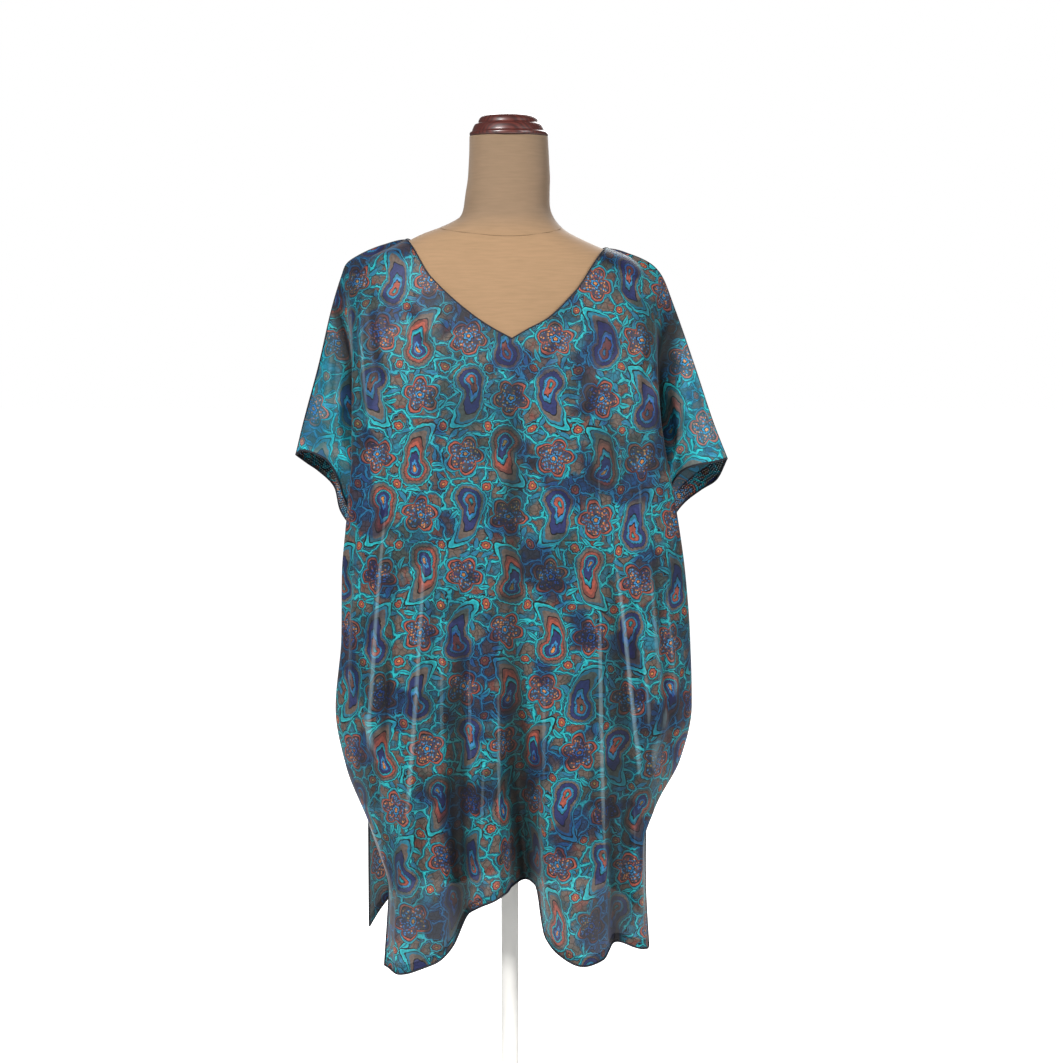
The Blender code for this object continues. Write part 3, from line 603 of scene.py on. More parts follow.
# Creases pressed and pulled into the cloth: x and height of both ends, bow to the side, rise, width.
FRONT_CREASES = [
    # over the chest, from the shoulders to the middle
    (-0.200, 1.262, -0.182, 1.045, 0.003, 0.0052, 0.0060),
    (-0.178, 1.272, -0.120, 1.040, 0.012, 0.0028, 0.0100),
    (-0.146, 1.278, -0.070, 1.080, 0.014, 0.0026, 0.0110),
    (-0.108, 1.258, -0.034, 1.120, 0.010, 0.0020, 0.0090),
    (0.156, 1.270, 0.080, 1.070, -0.014, 0.0026, 0.0110),
    (0.114, 1.258, 0.040, 1.130, -0.010, 0.0020, 0.0090),
    (0.184, 1.250, 0.150, 1.010, -0.004, 0.0036, 0.0080),
    (0.204, 1.230, 0.198, 1.040, 0.003, 0.0040, 0.0070),
    (0.148, 1.140, 0.150, 0.970, 0.001, 0.0046, 0.0055),
    (0.122, 1.060, 0.124, 0.920, 0.002, 0.0040, 0.0050),
    (0.176, 1.020, 0.180, 0.880, 0.002, 0.0042, 0.0055),
    (0.004, 1.165, 0.005, 0.830, 0.000, -0.0040, 0.0120),
    (-0.092, 1.140, -0.098, 0.940, 0.004, 0.0024, 0.0090),
    (-0.044, 1.100, -0.046, 0.880, 0.003, 0.0020, 0.0090),
    (0.060, 1.100, 0.062, 0.860, -0.003, 0.0022, 0.0090),
    (-0.150, 1.130, -0.156, 0.960, 0.004, 0.0030, 0.0070),
    # down the skirt, left of the middle
    (-0.158, 1.020, -0.192, 0.590, 0.004, 0.0050, 0.0050),
    (-0.108, 0.990, -0.158, 0.345, -0.004, 0.0056, 0.0055),
    (-0.194, 0.990, -0.214, 0.640, 0.006, 0.0040, 0.0060),
    (-0.138, 0.910, -0.176, 0.420, 0.004, 0.0040, 0.0060),
    (-0.086, 0.920, -0.090, 0.560, 0.003, 0.0034, 0.0065),
    (-0.050, 0.840, -0.048, 0.560, 0.003, 0.0034, 0.0060),
    (-0.014, 0.760, -0.014, 0.450, 0.001, 0.0036, 0.0045),
    (-0.034, 0.640, -0.036, 0.440, 0.001, 0.0032, 0.0050),
    (-0.104, 0.640, -0.112, 0.350, 0.003, 0.0044, 0.0060),
    (-0.132, 0.560, -0.136, 0.340, 0.002, 0.0038, 0.0055),
    (-0.086, 0.520, -0.088, 0.370, 0.002, 0.0032, 0.0050),
    (-0.214, 0.740, -0.164, 0.530, -0.008, 0.0044, 0.0070),
    # down the skirt, right of the middle
    (0.050, 0.820, 0.054, 0.400, 0.003, 0.0040, 0.0070),
    (0.122, 0.900, 0.134, 0.350, 0.003, 0.0050, 0.0050),
    (0.094, 0.780, 0.100, 0.400, 0.002, 0.0028, 0.0085),
    (0.072, 0.560, 0.076, 0.360, 0.001, 0.0026, 0.0060),
    (0.132, 0.970, 0.184, 0.540, -0.004, 0.0050, 0.0055),
    (0.156, 0.950, 0.198, 0.560, 0.004, -0.0056, 0.0065),
    (0.184, 0.980, 0.214, 0.650, 0.004, 0.0042, 0.0060),
    (0.210, 0.930, 0.236, 0.630, 0.004, 0.0040, 0.0060),
    (0.150, 0.640, 0.156, 0.350, 0.002, 0.0042, 0.0055),
    (0.172, 0.620, 0.176, 0.360, 0.001, 0.0038, 0.0050),
    (0.232, 0.740, 0.188, 0.550, 0.008, 0.0044, 0.0070),
]
SLEEVE_CREASES = [
    (-0.236, 1.260, -0.264, 1.050, -0.004, 0.0034, 0.0070),
    (-0.230, 1.200, -0.240, 1.040, -0.003, 0.0030, 0.0055),
    (-0.250, 1.190, -0.284, 1.045, -0.003, 0.0026, 0.0060),
    (0.222, 1.240, 0.264, 1.030, 0.004, 0.0034, 0.0070),
    (0.236, 1.180, 0.290, 1.030, 0.003, 0.0026, 0.0055),
    (0.226, 1.160, 0.242, 1.010, 0.003, 0.0032, 0.0055),
]
# The mesh: columns of one half, out to each flat distance, and rows from the upper edge to the hem.
PANEL_COLUMNS = [(0.110, 38), (NECK_HALF, 15), (CREST_FLAT, 35), (0.310, 28), (SLEEVE_HALF, 52)]
PANEL_ROWS, ROW_EASE = 190, 1.3
# The weight of the skirt pulls the yoke smooth, down to this share of the length, in this many passes.
YOKE_SHARE, YOKE_PASSES = 0.35, 260
# A guide starts at the upper edge and joins its table this far below it. The edge itself is met exactly over
# the first share of the length, and the hem's heights are reached over the last one.
GUIDE_START, EDGE_SHARE, HEM_SHARE = 0.03, 0.1, 0.5
# A depth well outside the dress form, from which its front and back are looked at.
OUTSIDE = 0.3
# Passes over which the cloth beside a point is averaged, and the depth or rise that counts as full, for the
# painted shade in the broad grooves and for the painted highlights along the sharp ridges.
GROOVE_PASSES, GROOVE_FULL = 80, 0.0050
RIDGE_PASSES, RIDGE_FULL = 4, 0.0016
# Painted shade along the groove between the body and the sleeve, where the cloth is folded back, over this
# width and between these heights, fading away over these lengths at its foot and its head.
SLOT_WIDTH, SLOT_FOOT, SLOT_HEAD = 0.012, 0.90, 1.27
SLOT_FOOT_FADE, SLOT_HEAD_FADE = 0.06, 0.04
# The sleeves, with only light behind them, get painted light: the print is lightened and paled there. It fades
# in between the first two heights, and their creases between the other two.
SLEEVE_LOW, SLEEVE_HIGH, CREASED_LOW, CREASED_HIGH = 0.94, 1.02, 0.96, 1.04
# A crease tapers off towards its ends, and has a shallower trough beside it at this many widths.
CREASE_TAPER, TROUGH_SHARE, TROUGH_PLACE = 0.7, 0.45, 1.6

dressed_form = BVHTree.FromObject(torso, bpy.context.evaluated_depsgraph_get())


def clear_of_form(points):
    """Moves the points that are nearer to the dress form than the cloth hangs away from it."""
    moved = np.array(points)
    for point in moved:
        near, normal, _, _ = dressed_form.find_nearest(point)
        away = (Vector(point) - near).dot(normal)
        blend = min(max((CLOTH_TO_FORM - away) / CLOTH_SOFTNESS + 0.5, 0.0), 1.0)
        push = (CLOTH_TO_FORM - away) * blend + CLOTH_SOFTNESS * blend * (1 - blend) / 2
        point += np.array(normal) * push
    return moved


def neck_depth(points, side):
    """How far forwards or back the neck's edge lies on the dress form, at its own place and height."""
    away = Vector((0.0, side * OUTSIDE, 0.0))
    depths = []
    for x, _, z in points:
        hit = dressed_form.ray_cast(Vector((x, away.y, z)), -away)[0]
        depths.append(hit.y + side * CLOTH_TO_FORM if hit else side * SEAM_HALF_GAP)
    return np.array(depths)


def upper_edge(side_name, side, neck):
    """The neck, shoulder and upper sleeve edge of one half of a panel, as a function of flat distance."""
    table = np.array(neck[side_name] + SHOULDER_EDGE[side_name])
    sign = -1 if side_name == "left" else 1

    def place(flat):
        out, height = smooth(table[:, 0], table[:, 1:], flat).T
        on_neck = 1 - ease(NECK_HALF - NECK_TURN, NECK_HALF, flat)
        at_neck = neck_depth(np.stack([sign * out, out, height], axis=1), side)
        at_seam = side * SEAM_HALF_GAP
        return np.stack([out, at_seam + (at_neck - at_seam) * on_neck, height], axis=1)

    return place


def guide_paths(side_name, side, top, guides, opening, slit):
    """Flat distance and path, from the upper edge to the hem, of each guide of one half of a panel."""
    rows = guides[side_name]
    paths = [(0.0, [(0.0, row[1], row[0]) for row in rows])]
    for flat, share in INNER_GUIDES:
        lean = share**3 / 2
        paths.append((flat, [(row[2] * share, row[1] + (row[3] - row[1]) * lean, row[0]) for row in rows]))
    for flat, column in ((CREST_FLAT, 2), (GROOVE_FLAT, 4), (FACE_FLAT, 6)):
        paths.append((flat, [(row[column], row[column + 1], row[0]) for row in rows]))
    made = []
    for flat, path in paths:
        start = top(np.array([flat]))[0]
        below = [point for point in path if point[2] < start[2] - GUIDE_START]
        made.append((flat, np.array([start, *below])))
    seam = np.array(SIDE_SEAM[side_name])[::-1]
    heights = np.arange(seam[0, 2], seam[-1, 2], SEAM_STEP)
    out, depth = smooth(seam[:, 2], seam[:, :2], heights).T
    sewn = np.stack([out, depth + side * SEAM_HALF_GAP, heights], axis=1)[::-1]
    edge = [top(np.array([SLEEVE_HALF]))[0], *opening[side_name], *sewn, *slit[side_name]]
    made.append((SLEEVE_HALF, np.array(edge)))
    return made


def along(path, share):
    """Points at the given shares of a path's length."""
    length = np.concatenate([[0], np.cumsum(np.linalg.norm(np.diff(path, axis=0), axis=1))])
    return smooth(length / length[-1], path, share)


def hang_folds(points, folds, side):
    """Moves the points of a panel along Y by the panel's large folds."""
    x, y, z = points.T
    for start, middle, low, top_z, middle_z, rise, rise_hem, width in folds:
        place = smooth([FOLD_FOOT, middle_z, top_z], [low, middle, start], z)[:, 0]
        height = smooth([FOLD_FOOT, middle_z, top_z], [rise_hem, rise, 0.0], z)[:, 0]
        fade = 1 - ease(top_z - FOLD_FADE, top_z, z)
        y = y + side * height * fade * np.exp(-(((x - place) / width) ** 2))
    return np.stack([x, y, z], axis=1)


def grid_normals(grid, side):
    """Unit normals of a grid of points, on the panel's outer side."""
    normal = np.cross(np.gradient(grid, axis=1), np.gradient(grid, axis=0))
    normal /= np.maximum(np.linalg.norm(normal, axis=2, keepdims=True), 1e-12)
    middle = normal[len(normal) // 2, normal.shape[1] // 2]
    return normal if middle[1] * side > 0 else -normal


def crease(grid, side, creases, weight):
    """Raises creases on a grid of points: soft ridges along bowed lines, tapering off at both ends."""
    normal = grid_normals(grid, side)
    rise = np.zeros(grid.shape[:2])
    for x0, z0, x1, z1, bow, height, width in creases:
        run = np.array([x1 - x0, z1 - z0])
        length = np.linalg.norm(run)
        along_x, along_z = run / length
        dx, dz = grid[:, :, 0] - x0, grid[:, :, 2] - z0
        share = (dx * along_x + dz * along_z) / length
        off = dx * along_z - dz * along_x - bow * 4 * share * (1 - share)
        taper = np.sin(math.pi * np.clip(share, 0, 1)) ** CREASE_TAPER
        ridge = np.exp(-((off / width) ** 2))
        trough = np.exp(-((off / width - TROUGH_PLACE) ** 2))
        rise += height * taper * (ridge - TROUGH_SHARE * trough)
    return grid + normal * (rise * weight)[:, :, None]


def panel_grid(side, neck, guides, opening, slit, folds, hem):
    """Grid of points of a whole panel, from its left edge to its right edge, and its flat distances."""
    flats, start = [0.0], 0.0
    for end, count in PANEL_COLUMNS:
        flats += list(np.linspace(start, end, count + 1)[1:])
        start = end
    flats = np.array(flats)
    share = (np.arange(PANEL_ROWS + 1) / PANEL_ROWS) ** ROW_EASE
    halves = {}
    for side_name in ("left", "right"):
        top = upper_edge(side_name, side, neck)
        paths = guide_paths(side_name, side, top, guides, opening, slit)
        lines = np.stack([along(path, share) for _, path in paths])
        knots = [flat for flat, _ in paths]
        half = np.stack([smooth(knots, lines[:, row], flats) for row in range(PANEL_ROWS + 1)])
        fade = 1 - ease(0.0, EDGE_SHARE, share)
        halves[side_name] = half + (top(flats) - half[0])[None] * fade[:, None, None]
    left, right = halves["left"] * np.array([-1, 1, 1]), halves["right"]
    centre = (left[:, :1] + right[:, :1]) / 2
    grid = np.concatenate([left[:, :0:-1], centre, right[:, 1:]], axis=1)
    flat = np.concatenate([-flats[:0:-1], flats])

    down = 1 - ease(YOKE_SHARE / 2, YOKE_SHARE, share)
    out = 1 - ease(NECK_HALF, CREST_FLAT, np.abs(flat))
    inner = (down[:, None] * out)[1:-1, 1:-1, None] / 2
    for _ in range(YOKE_PASSES):
        mean = (grid[:-2, 1:-1] + grid[2:, 1:-1] + grid[1:-1, :-2] + grid[1:-1, 2:]) / 4
        grid[1:-1, 1:-1] += (mean - grid[1:-1, 1:-1]) * inner

    hem = np.array(hem)
    goal = smooth(hem[:, 0], hem[:, 1], grid[-1, :, 0])[:, 0]
    grid[:, :, 2] += (goal - grid[-1, :, 2])[None] * ease(HEM_SHARE, 1.0, share)[:, None]
    body = 1 - ease(CREST_FLAT, FACE_FLAT, np.abs(flat))
    folded = hang_folds(grid.reshape(-1, 3), folds, side).reshape(grid.shape)
    grid += (folded - grid) * body[None, :, None]
    return grid, flat


def settle(grid, flat):
    """Keeps the body of a panel clear of the dress form, but for its shoulder seam."""
    over_form = 1 - ease(CREST_FLAT, GROOVE_FLAT, np.abs(flat))
    cleared = clear_of_form(grid.reshape(-1, 3)).reshape(grid.shape)
    seam = (np.abs(flat) >= NECK_HALF)[None, :, None] & (np.arange(len(grid)) == 0)[:, None, None]
    return np.where(seam, grid, grid + (cleared - grid) * over_form[None, :, None])


# The cut is laid flat from every fourth row and column of the mesh, in this many passes.
PATTERN_STEP, PATTERN_PASSES = 4, 40


def flat_pattern(grid):
    """The cut of a panel laid flat, in metres: the place of each point of its grid on the cloth."""
    rows, columns = [np.unique(np.append(np.arange(0, n, PATTERN_STEP), n - 1)) for n in grid.shape[:2]]
    coarse = grid[np.ix_(rows, columns)]
    bm = grid_mesh(coarse)
    area = sum(face.calc_area() for face in bm.faces)
    mesh = bpy.data.meshes.new("pattern")
    bm.to_mesh(mesh)
    bm.free()
    mesh.uv_layers.new(name="cloth")
    holder = bpy.data.objects.new("pattern", mesh)
    bpy.context.scene.collection.objects.link(holder)
    bpy.context.view_layer.objects.active = holder
    holder.select_set(True)
    bpy.ops.object.mode_set(mode="EDIT")
    bpy.ops.mesh.select_all(action="SELECT")
    bpy.ops.uv.unwrap(method="MINIMUM_STRETCH", iterations=PATTERN_PASSES, margin=0.0)
    bpy.ops.object.mode_set(mode="OBJECT")
    flat = np.zeros((len(mesh.vertices), 2))
    for loop, uv in zip(mesh.loops, mesh.uv_layers["cloth"].data):
        flat[loop.vertex_index] = uv.uv
    bpy.data.objects.remove(holder)
    flat = flat.reshape(*coarse.shape[:2], 2)

    # Turned so that the centre runs straight down and X to the right, and scaled to the cloth's real area.
    middle = flat.shape[1] // 2
    down = flat[-1, middle] - flat[0, middle]
    down /= np.linalg.norm(down)
    flat = (flat - flat[0, middle]) @ np.array([[down[1], -down[0]], [-down[0], -down[1]]])
    if flat[:, -1, 0].mean() < flat[:, 0, 0].mean():
        flat[:, :, 0] *= -1
    a, b = flat[1:, :-1] - flat[:-1, :-1], flat[:-1, 1:] - flat[:-1, :-1]
    c, d = flat[:-1, 1:] - flat[1:, 1:], flat[1:, :-1] - flat[1:, 1:]
    twice = np.abs(a[..., 0] * b[..., 1] - a[..., 1] * b[..., 0])
    twice += np.abs(c[..., 0] * d[..., 1] - c[..., 1] * d[..., 0])
    flat *= math.sqrt(area / (twice.sum() / 2))
    every_row, every_column = [np.arange(n) for n in grid.shape[:2]]
    fine = np.stack([smooth(rows, flat[:, column], every_row) for column in range(flat.shape[1])], 1)
    return np.stack([smooth(columns, fine[row], every_column) for row in range(len(fine))])


def fold_relief(grid, side, passes, full):
    """How far each point stands out from the cloth beside it: 1 on a full ridge, and -1 in a full groove."""
    mean = grid
    for _ in range(passes):
        padded = np.concatenate([mean[:, :1], mean, mean[:, -1:]], axis=1)
        mean = (padded[:, :-2] + 2 * mean + padded[:, 2:]) / 4
    return np.tanh(((grid - mean) * grid_normals(mean, side)).sum(axis=2) / full)


# A height at which both panels and every hem on them face away from the form.
FACING_HEIGHT = 0.8


def cloth_sheet(name, grid, place_on_cloth, side, material, **shares):
    """A sheet of cloth from a grid of points, with each point's place on the flat cloth as its UV.

    Each share is kept as an attribute of the points, for the cloth's material.
    """
    bm = grid_mesh(grid)
    layer = bm.loops.layers.uv.new("cloth")
    places = place_on_cloth.reshape(-1, 2)
    bm.verts.index_update()
    for face in bm.faces:
        for loop in face.loops:
            loop[layer].uv = places[loop.vert.index]
    bm.normal_update()
    centres = [face.calc_center_median() for face in bm.faces]
    off_middle = [abs(centre.x) + abs(centre.z - FACING_HEIGHT) for centre in centres]
    bm.faces.ensure_lookup_table()
    middle = bm.faces[off_middle.index(min(off_middle))]
    if middle.normal.y * side < 0:
        bmesh.ops.reverse_faces(bm, faces=bm.faces)
    made = finish_mesh(name, bm, material, sharp=None)
    for kind, values in shares.items():
        made.data.attributes.new(kind, "FLOAT", "POINT").data.foreach_set("value", values.ravel())
    return made


# Chiffon: a fine, slightly crinkled sheer weave. The dye tints the light that comes through it, so that a
# single layer is bright, and the dress form or a second layer behind it makes it dark. The print is a made-up
# one in the colours of such cloth: curled drops and five-petalled blossoms in staggered rows, over a ground of
# vines and small leaves. The weave's crinkle is drawn coarser than the real one, which is too fine to show.
TURQUOISE, AQUA, TEAL, SKY = "#118E97", "#1AA3A8", "#196A80", "#2C78A8"
RUST, BRICK, TAUPE, SLATE, NAVY = "#93483A", "#6E3A31", "#5C5048", "#2A5260", "#222A58"
OUTLINE, OCHRE, SMOKE = "#060A12", "#B8763F", "#3E383E"
NAVY_SHADOW, TEAL_SHADOW = "#4A58B4", "#62B4C4"
REPEAT_WIDTH, REPEAT_LENGTH = 0.118, 0.160
# A drop's round foot, its tip's reach as a share of it, how sharp the tip is, how far the drop is set off,
# and how much it curls and leans. Fine notches run round it. This share of the drops has the cool colours.
DROP_FOOT, DROP_REACH, DROP_TIP = 0.0235, 1.95, 11.0
DROP_ASIDE, DROP_SHIFT, DROP_CURL, DROP_LEAN = 0.006, 0.021, 11.0, 0.42
DROP_NOTCHES, NOTCH_DEPTH, COOL_DROPS = 22.0, 0.018, 0.58
# Petals reach in by the depth, as a share of the radius. Flecks lie in a band of each blossom.
BLOSSOM_RADIUS, BLOSSOM_PETALS, BLOSSOM_DEPTH = 0.030, 5, 0.36
BERRY_RADIUS, BERRY_PETALS, BERRY_DEPTH = 0.0095, 8, 0.16
FLECK_PITCH, FLECK_SHARE, FLECKED_MIDDLE, FLECKED_HALF = 0.0032, 1 / 3, 0.46, 0.22
VINE_PITCH, VINE_WIDTH, VINE_BEND = 0.0250, 0.0038, 0.014
LEAF_PITCH, LEAF_LENGTH, LEAF_WIDTH, LEAF_BOW = 0.0165, 0.0100, 0.0044, 0.5
LEAF_THINNEST, LEAF_SCATTER, LEAVES_KEPT, DEEP_LEAVES = 0.001, 0.62, 0.42, 0.60
VEIN_PITCH, VEIN_INSIDE, VEIN_OUTSIDE, VEIN_TONE = 0.0080, 0.03, 0.10, 0.45
# How far the hand that drew the print wandered, and how many of each go to a metre of the cloth.
HAND_WOBBLE, WOBBLES_PER_METRE, BENDS_PER_METRE = 0.0075, 34.0, 75.0
CLOUDS_PER_METRE, SHADOWS_PER_METRE, MOTTLES_PER_METRE = 24.0, 13.0, 260.0
SHADOWS = [
    # colour, the cloud's value where the shadow starts and where it is full, and its share there
    (NAVY_SHADOW, 0.53, 0.60, 0.80),
    (TEAL_SHADOW, 0.52, 0.58, 0.80),
]
MOTTLE_SPREAD, MOTTLE_DEPTH = 0.2, 0.3
CREPE_PITCH = 0.0016
# How much of the light passes straight through and how much is scattered, and how little dye tints the first.
SHEER_SHARE, THROUGH_SHARE, DYE_CLEAR = 0.10, 0.10, 0.14
# Painted shade deep in a groove and painted light on a sleeve, as tones of the print, and how far a painted
# highlight pales it along a ridge and painted light pales it on a sleeve.
GROOVE_SHADE_TONE, SLEEVE_LIGHT_TONE, RIDGE_HIGHLIGHT_PALENESS, SLEEVE_LIGHT_PALENESS = 0.14, 1.7, 0.26, 0.16
# Where a ridge's painted highlight starts and is full, and the colours of the painted ridge highlight and of
# the sleeves' painted light.
RIDGE_STARTS, RIDGE_ENDS = 0.5, 0.9
PAINTED_RIDGE_HIGHLIGHT, PAINTED_SLEEVE_LIGHT = "#A4C4CC", "#36B0BC"


def printed_over(tree, below, share, above):
    """A motif's colour inside its outline, where the share is under 1, and the colour below it elsewhere."""
    inside = node(tree, "Math", {0: share, 1: 1.0}, operation="LESS_THAN").outputs[0]
    return node(tree, "Mix", {0: inside, 6: below, 7: above}, data_type="RGBA").outputs[2]


def repeat_place(tree, along_a, along_b, width, length):
    """Place in one repeat of a staggered lattice, in metres from its middle, and the repeat's random lot."""
    near = [
        node(tree, "Math", {0: run, 1: 0.5, 2: -0.5}, operation="WRAP").outputs[0]
        for run in (along_a, along_b)
    ]
    plus = node(tree, "Math", {0: near[0], 1: near[1]}, operation="ADD").outputs[0]
    minus = node(tree, "Math", {0: near[0], 1: near[1]}, operation="SUBTRACT").outputs[0]
    place = node(tree, "CombineXYZ", {"X": plus, "Y": minus}).outputs[0]
    half = (width / 2, length / 2, 0.0)
    place = node(tree, "VectorMath", {0: place, 1: half}, operation="MULTIPLY").outputs[0]
    number = [
        node(tree, "Math", {0: whole, 1: part}, operation="SUBTRACT").outputs[0]
        for whole, part in zip((along_a, along_b), near)
    ]
    number = node(tree, "CombineXYZ", {"X": number[0], "Y": number[1]}).outputs[0]
    number = node(tree, "VectorMath", {0: number, 1: (0.25, 0.25, 0.0)}, operation="ADD").outputs[0]
    lot = node(tree, "TexWhiteNoise", {"Vector": number}, noise_dimensions="2D").outputs["Color"]
    return place, node(tree, "SeparateColor", {"Color": lot}).outputs


def petalled(tree, place, petals, depth, radius, turn):
    """Distance from a flower's middle as a share of its petalled outline."""
    xy = node(tree, "SeparateXYZ", {"Vector": place})
    angle = node(tree, "Math", {0: xy.outputs["Y"], 1: xy.outputs["X"]}, operation="ARCTAN2").outputs[0]
    angle = node(tree, "Math", {0: turn, 1: 2 * math.pi, 2: angle}, operation="MULTIPLY_ADD").outputs[0]
    lobe = node(tree, "Math", {0: angle, 1: petals / 2}, operation="MULTIPLY").outputs[0]
    lobe = node(tree, "Math", {0: lobe}, operation="COSINE").outputs[0]
    lobe = node(tree, "Math", {0: lobe}, operation="ABSOLUTE").outputs[0]
    reach = node(
        tree, "Math", {0: lobe, 1: depth * radius, 2: (1 - depth) * radius}, operation="MULTIPLY_ADD"
    ).outputs[0]
    distance = node(tree, "VectorMath", {0: place}, operation="LENGTH").outputs["Value"]
    return node(tree, "Math", {0: distance, 1: reach}, operation="DIVIDE").outputs[0]


chiffon, tree, output = new_material("printed silk chiffon")
on_cloth = node(tree, "UVMap", uv_map="cloth").outputs["UV"]
hand = node(
    tree, "TexNoise", {"Vector": on_cloth, "Scale": WOBBLES_PER_METRE, "Detail": 3.0}
).outputs["Color"]
hand = node(tree, "VectorMath", {0: hand, 1: (0.5, 0.5, 0.5)}, operation="SUBTRACT").outputs[0]
hand = node(tree, "VectorMath", {0: hand, "Scale": 2 * HAND_WOBBLE}, operation="SCALE").outputs[0]
drawn = node(tree, "VectorMath", {0: on_cloth, 1: hand}, operation="ADD").outputs[0]

# Ground: taupe, slate and teal clouds that run into each other, with fine dark veins.
clouds = node(tree, "TexNoise", {"Vector": drawn, "Scale": CLOUDS_PER_METRE, "Detail": 3.0}).outputs["Fac"]
print_and_painted_light_colour = stops(
    tree,
    clouds,
    [
        (0.34, TEAL), (0.42, SLATE), (0.46, TAUPE), (0.56, TAUPE),
        (0.60, BRICK), (0.65, TAUPE), (0.71, SLATE), (0.77, TEAL),
    ],
)
veins = node(
    tree,
    "TexVoronoi",
    {"Vector": drawn, "Scale": 1 / VEIN_PITCH},
    voronoi_dimensions="2D",
    feature="DISTANCE_TO_EDGE",
).outputs["Distance"]
veins = node(
    tree, "MapRange", {"Value": veins, "From Min": VEIN_INSIDE, "From Max": VEIN_OUTSIDE}
).outputs[0]
veined = node(tree, "Math", {0: veins, 1: 1 - VEIN_TONE, 2: VEIN_TONE}, operation="MULTIPLY_ADD").outputs[0]
print_and_painted_light_colour = node(tree, "VectorMath", {0: print_and_painted_light_colour, "Scale": veined}, operation="SCALE").outputs[0]

# Vines: wandering turquoise lines with a dark outline, that meet and part all over the ground.
vine_bend = node(
    tree, "TexNoise", {"Vector": on_cloth, "Scale": BENDS_PER_METRE, "Detail": 2.0}
).outputs["Color"]
vine_bend = node(tree, "VectorMath", {0: vine_bend, "Scale": VINE_BEND}, operation="SCALE").outputs[0]
vine_place = node(tree, "VectorMath", {0: drawn, 1: vine_bend}, operation="ADD").outputs[0]
vine = node(
    tree,
    "TexVoronoi",
    {"Vector": vine_place, "Scale": 1 / VINE_PITCH},
    voronoi_dimensions="2D",
    feature="DISTANCE_TO_EDGE",
).outputs["Distance"]
vine_share = node(tree, "Math", {0: vine, 1: VINE_PITCH / VINE_WIDTH}, operation="MULTIPLY").outputs[0]
vine_colour = stops(
    tree,
    vine_share,
    [(0.0, AQUA), (0.16, TURQUOISE), (0.36, OUTLINE), (0.60, TEAL), (0.84, OUTLINE)],
    "CONSTANT",
)
print_and_painted_light_colour = printed_over(tree, print_and_painted_light_colour, vine_share, vine_colour)

# Small leaves among the vines, leaning to and fro, in two greens.
leaf_place = node(tree, "VectorMath", {0: drawn, "Scale": 1 / LEAF_PITCH}, operation="SCALE").outputs[0]
leaf_cells = node(
    tree,
    "TexVoronoi",
    {"Vector": leaf_place, "Scale": 1.0, "Randomness": LEAF_SCATTER},
    voronoi_dimensions="2D",
)
leaf_lot = node(tree, "SeparateColor", {"Color": leaf_cells.outputs["Color"]})
from_leaf = node(
    tree, "VectorMath", {0: leaf_place, 1: leaf_cells.outputs["Position"]}, operation="SUBTRACT"
).outputs[0]
leaf_turn = node(tree, "Math", {0: leaf_lot.outputs[0], 1: 2 * math.pi}, operation="MULTIPLY").outputs[0]
leaf = node(
    tree, "VectorRotate", {"Vector": from_leaf, "Angle": leaf_turn}, rotation_type="Z_AXIS"
).outputs[0]
leaf = node(tree, "SeparateXYZ", {"Vector": leaf})
leaf_along = node(
    tree, "Math", {0: leaf.outputs["X"], 1: LEAF_PITCH / LEAF_LENGTH}, operation="MULTIPLY"
).outputs[0]
leaf_bend = node(tree, "Math", {0: leaf_along, 1: leaf_along}, operation="MULTIPLY").outputs[0]
leaf_half = node(tree, "Math", {0: 1.0, 1: leaf_bend}, operation="SUBTRACT").outputs[0]
leaf_half = node(tree, "Math", {0: leaf_half, 1: LEAF_THINNEST}, operation="MAXIMUM").outputs[0]
leaf_across = node(
    tree, "Math", {0: leaf.outputs["Y"], 1: LEAF_PITCH / LEAF_WIDTH}, operation="MULTIPLY"
).outputs[0]
leaf_across = node(
    tree, "Math", {0: leaf_bend, 1: -LEAF_BOW, 2: leaf_across}, operation="MULTIPLY_ADD"
).outputs[0]
leaf_across = node(tree, "Math", {0: leaf_across}, operation="ABSOLUTE").outputs[0]
leaf_share = node(tree, "Math", {0: leaf_across, 1: leaf_half}, operation="DIVIDE").outputs[0]
leaf_missing = node(
    tree, "Math", {0: leaf_lot.outputs[2], 1: LEAVES_KEPT}, operation="GREATER_THAN"
).outputs[0]
leaf_share = node(tree, "Math", {0: leaf_share, 1: leaf_missing}, operation="ADD").outputs[0]
bright_leaf, deep_leaf = [
    stops(tree, leaf_share, colours)
    for colours in (
        [(0.0, OUTLINE), (0.10, TEAL), (0.18, TURQUOISE), (0.62, AQUA), (0.76, OUTLINE)],
        [(0.0, OUTLINE), (0.12, SKY), (0.20, TEAL), (0.64, TEAL), (0.76, OUTLINE)],
    )
]
leaf_kind = node(tree, "Math", {0: leaf_lot.outputs[1], 1: DEEP_LEAVES}, operation="LESS_THAN").outputs[0]
leaf_colour = node(tree, "Mix", {0: leaf_kind, 6: bright_leaf, 7: deep_leaf}, data_type="RGBA").outputs[2]
print_and_painted_light_colour = printed_over(tree, print_and_painted_light_colour, leaf_share, leaf_colour)

# The staggered lattice: a and b run along the sides of its diamonds, one unit for each repeat.
steps = [(1 / REPEAT_WIDTH, way / REPEAT_LENGTH, 0.0) for way in (1, -1)]
a, b = [
    node(tree, "VectorMath", {0: drawn, 1: step}, operation="DOT_PRODUCT").outputs["Value"] for step in steps
]

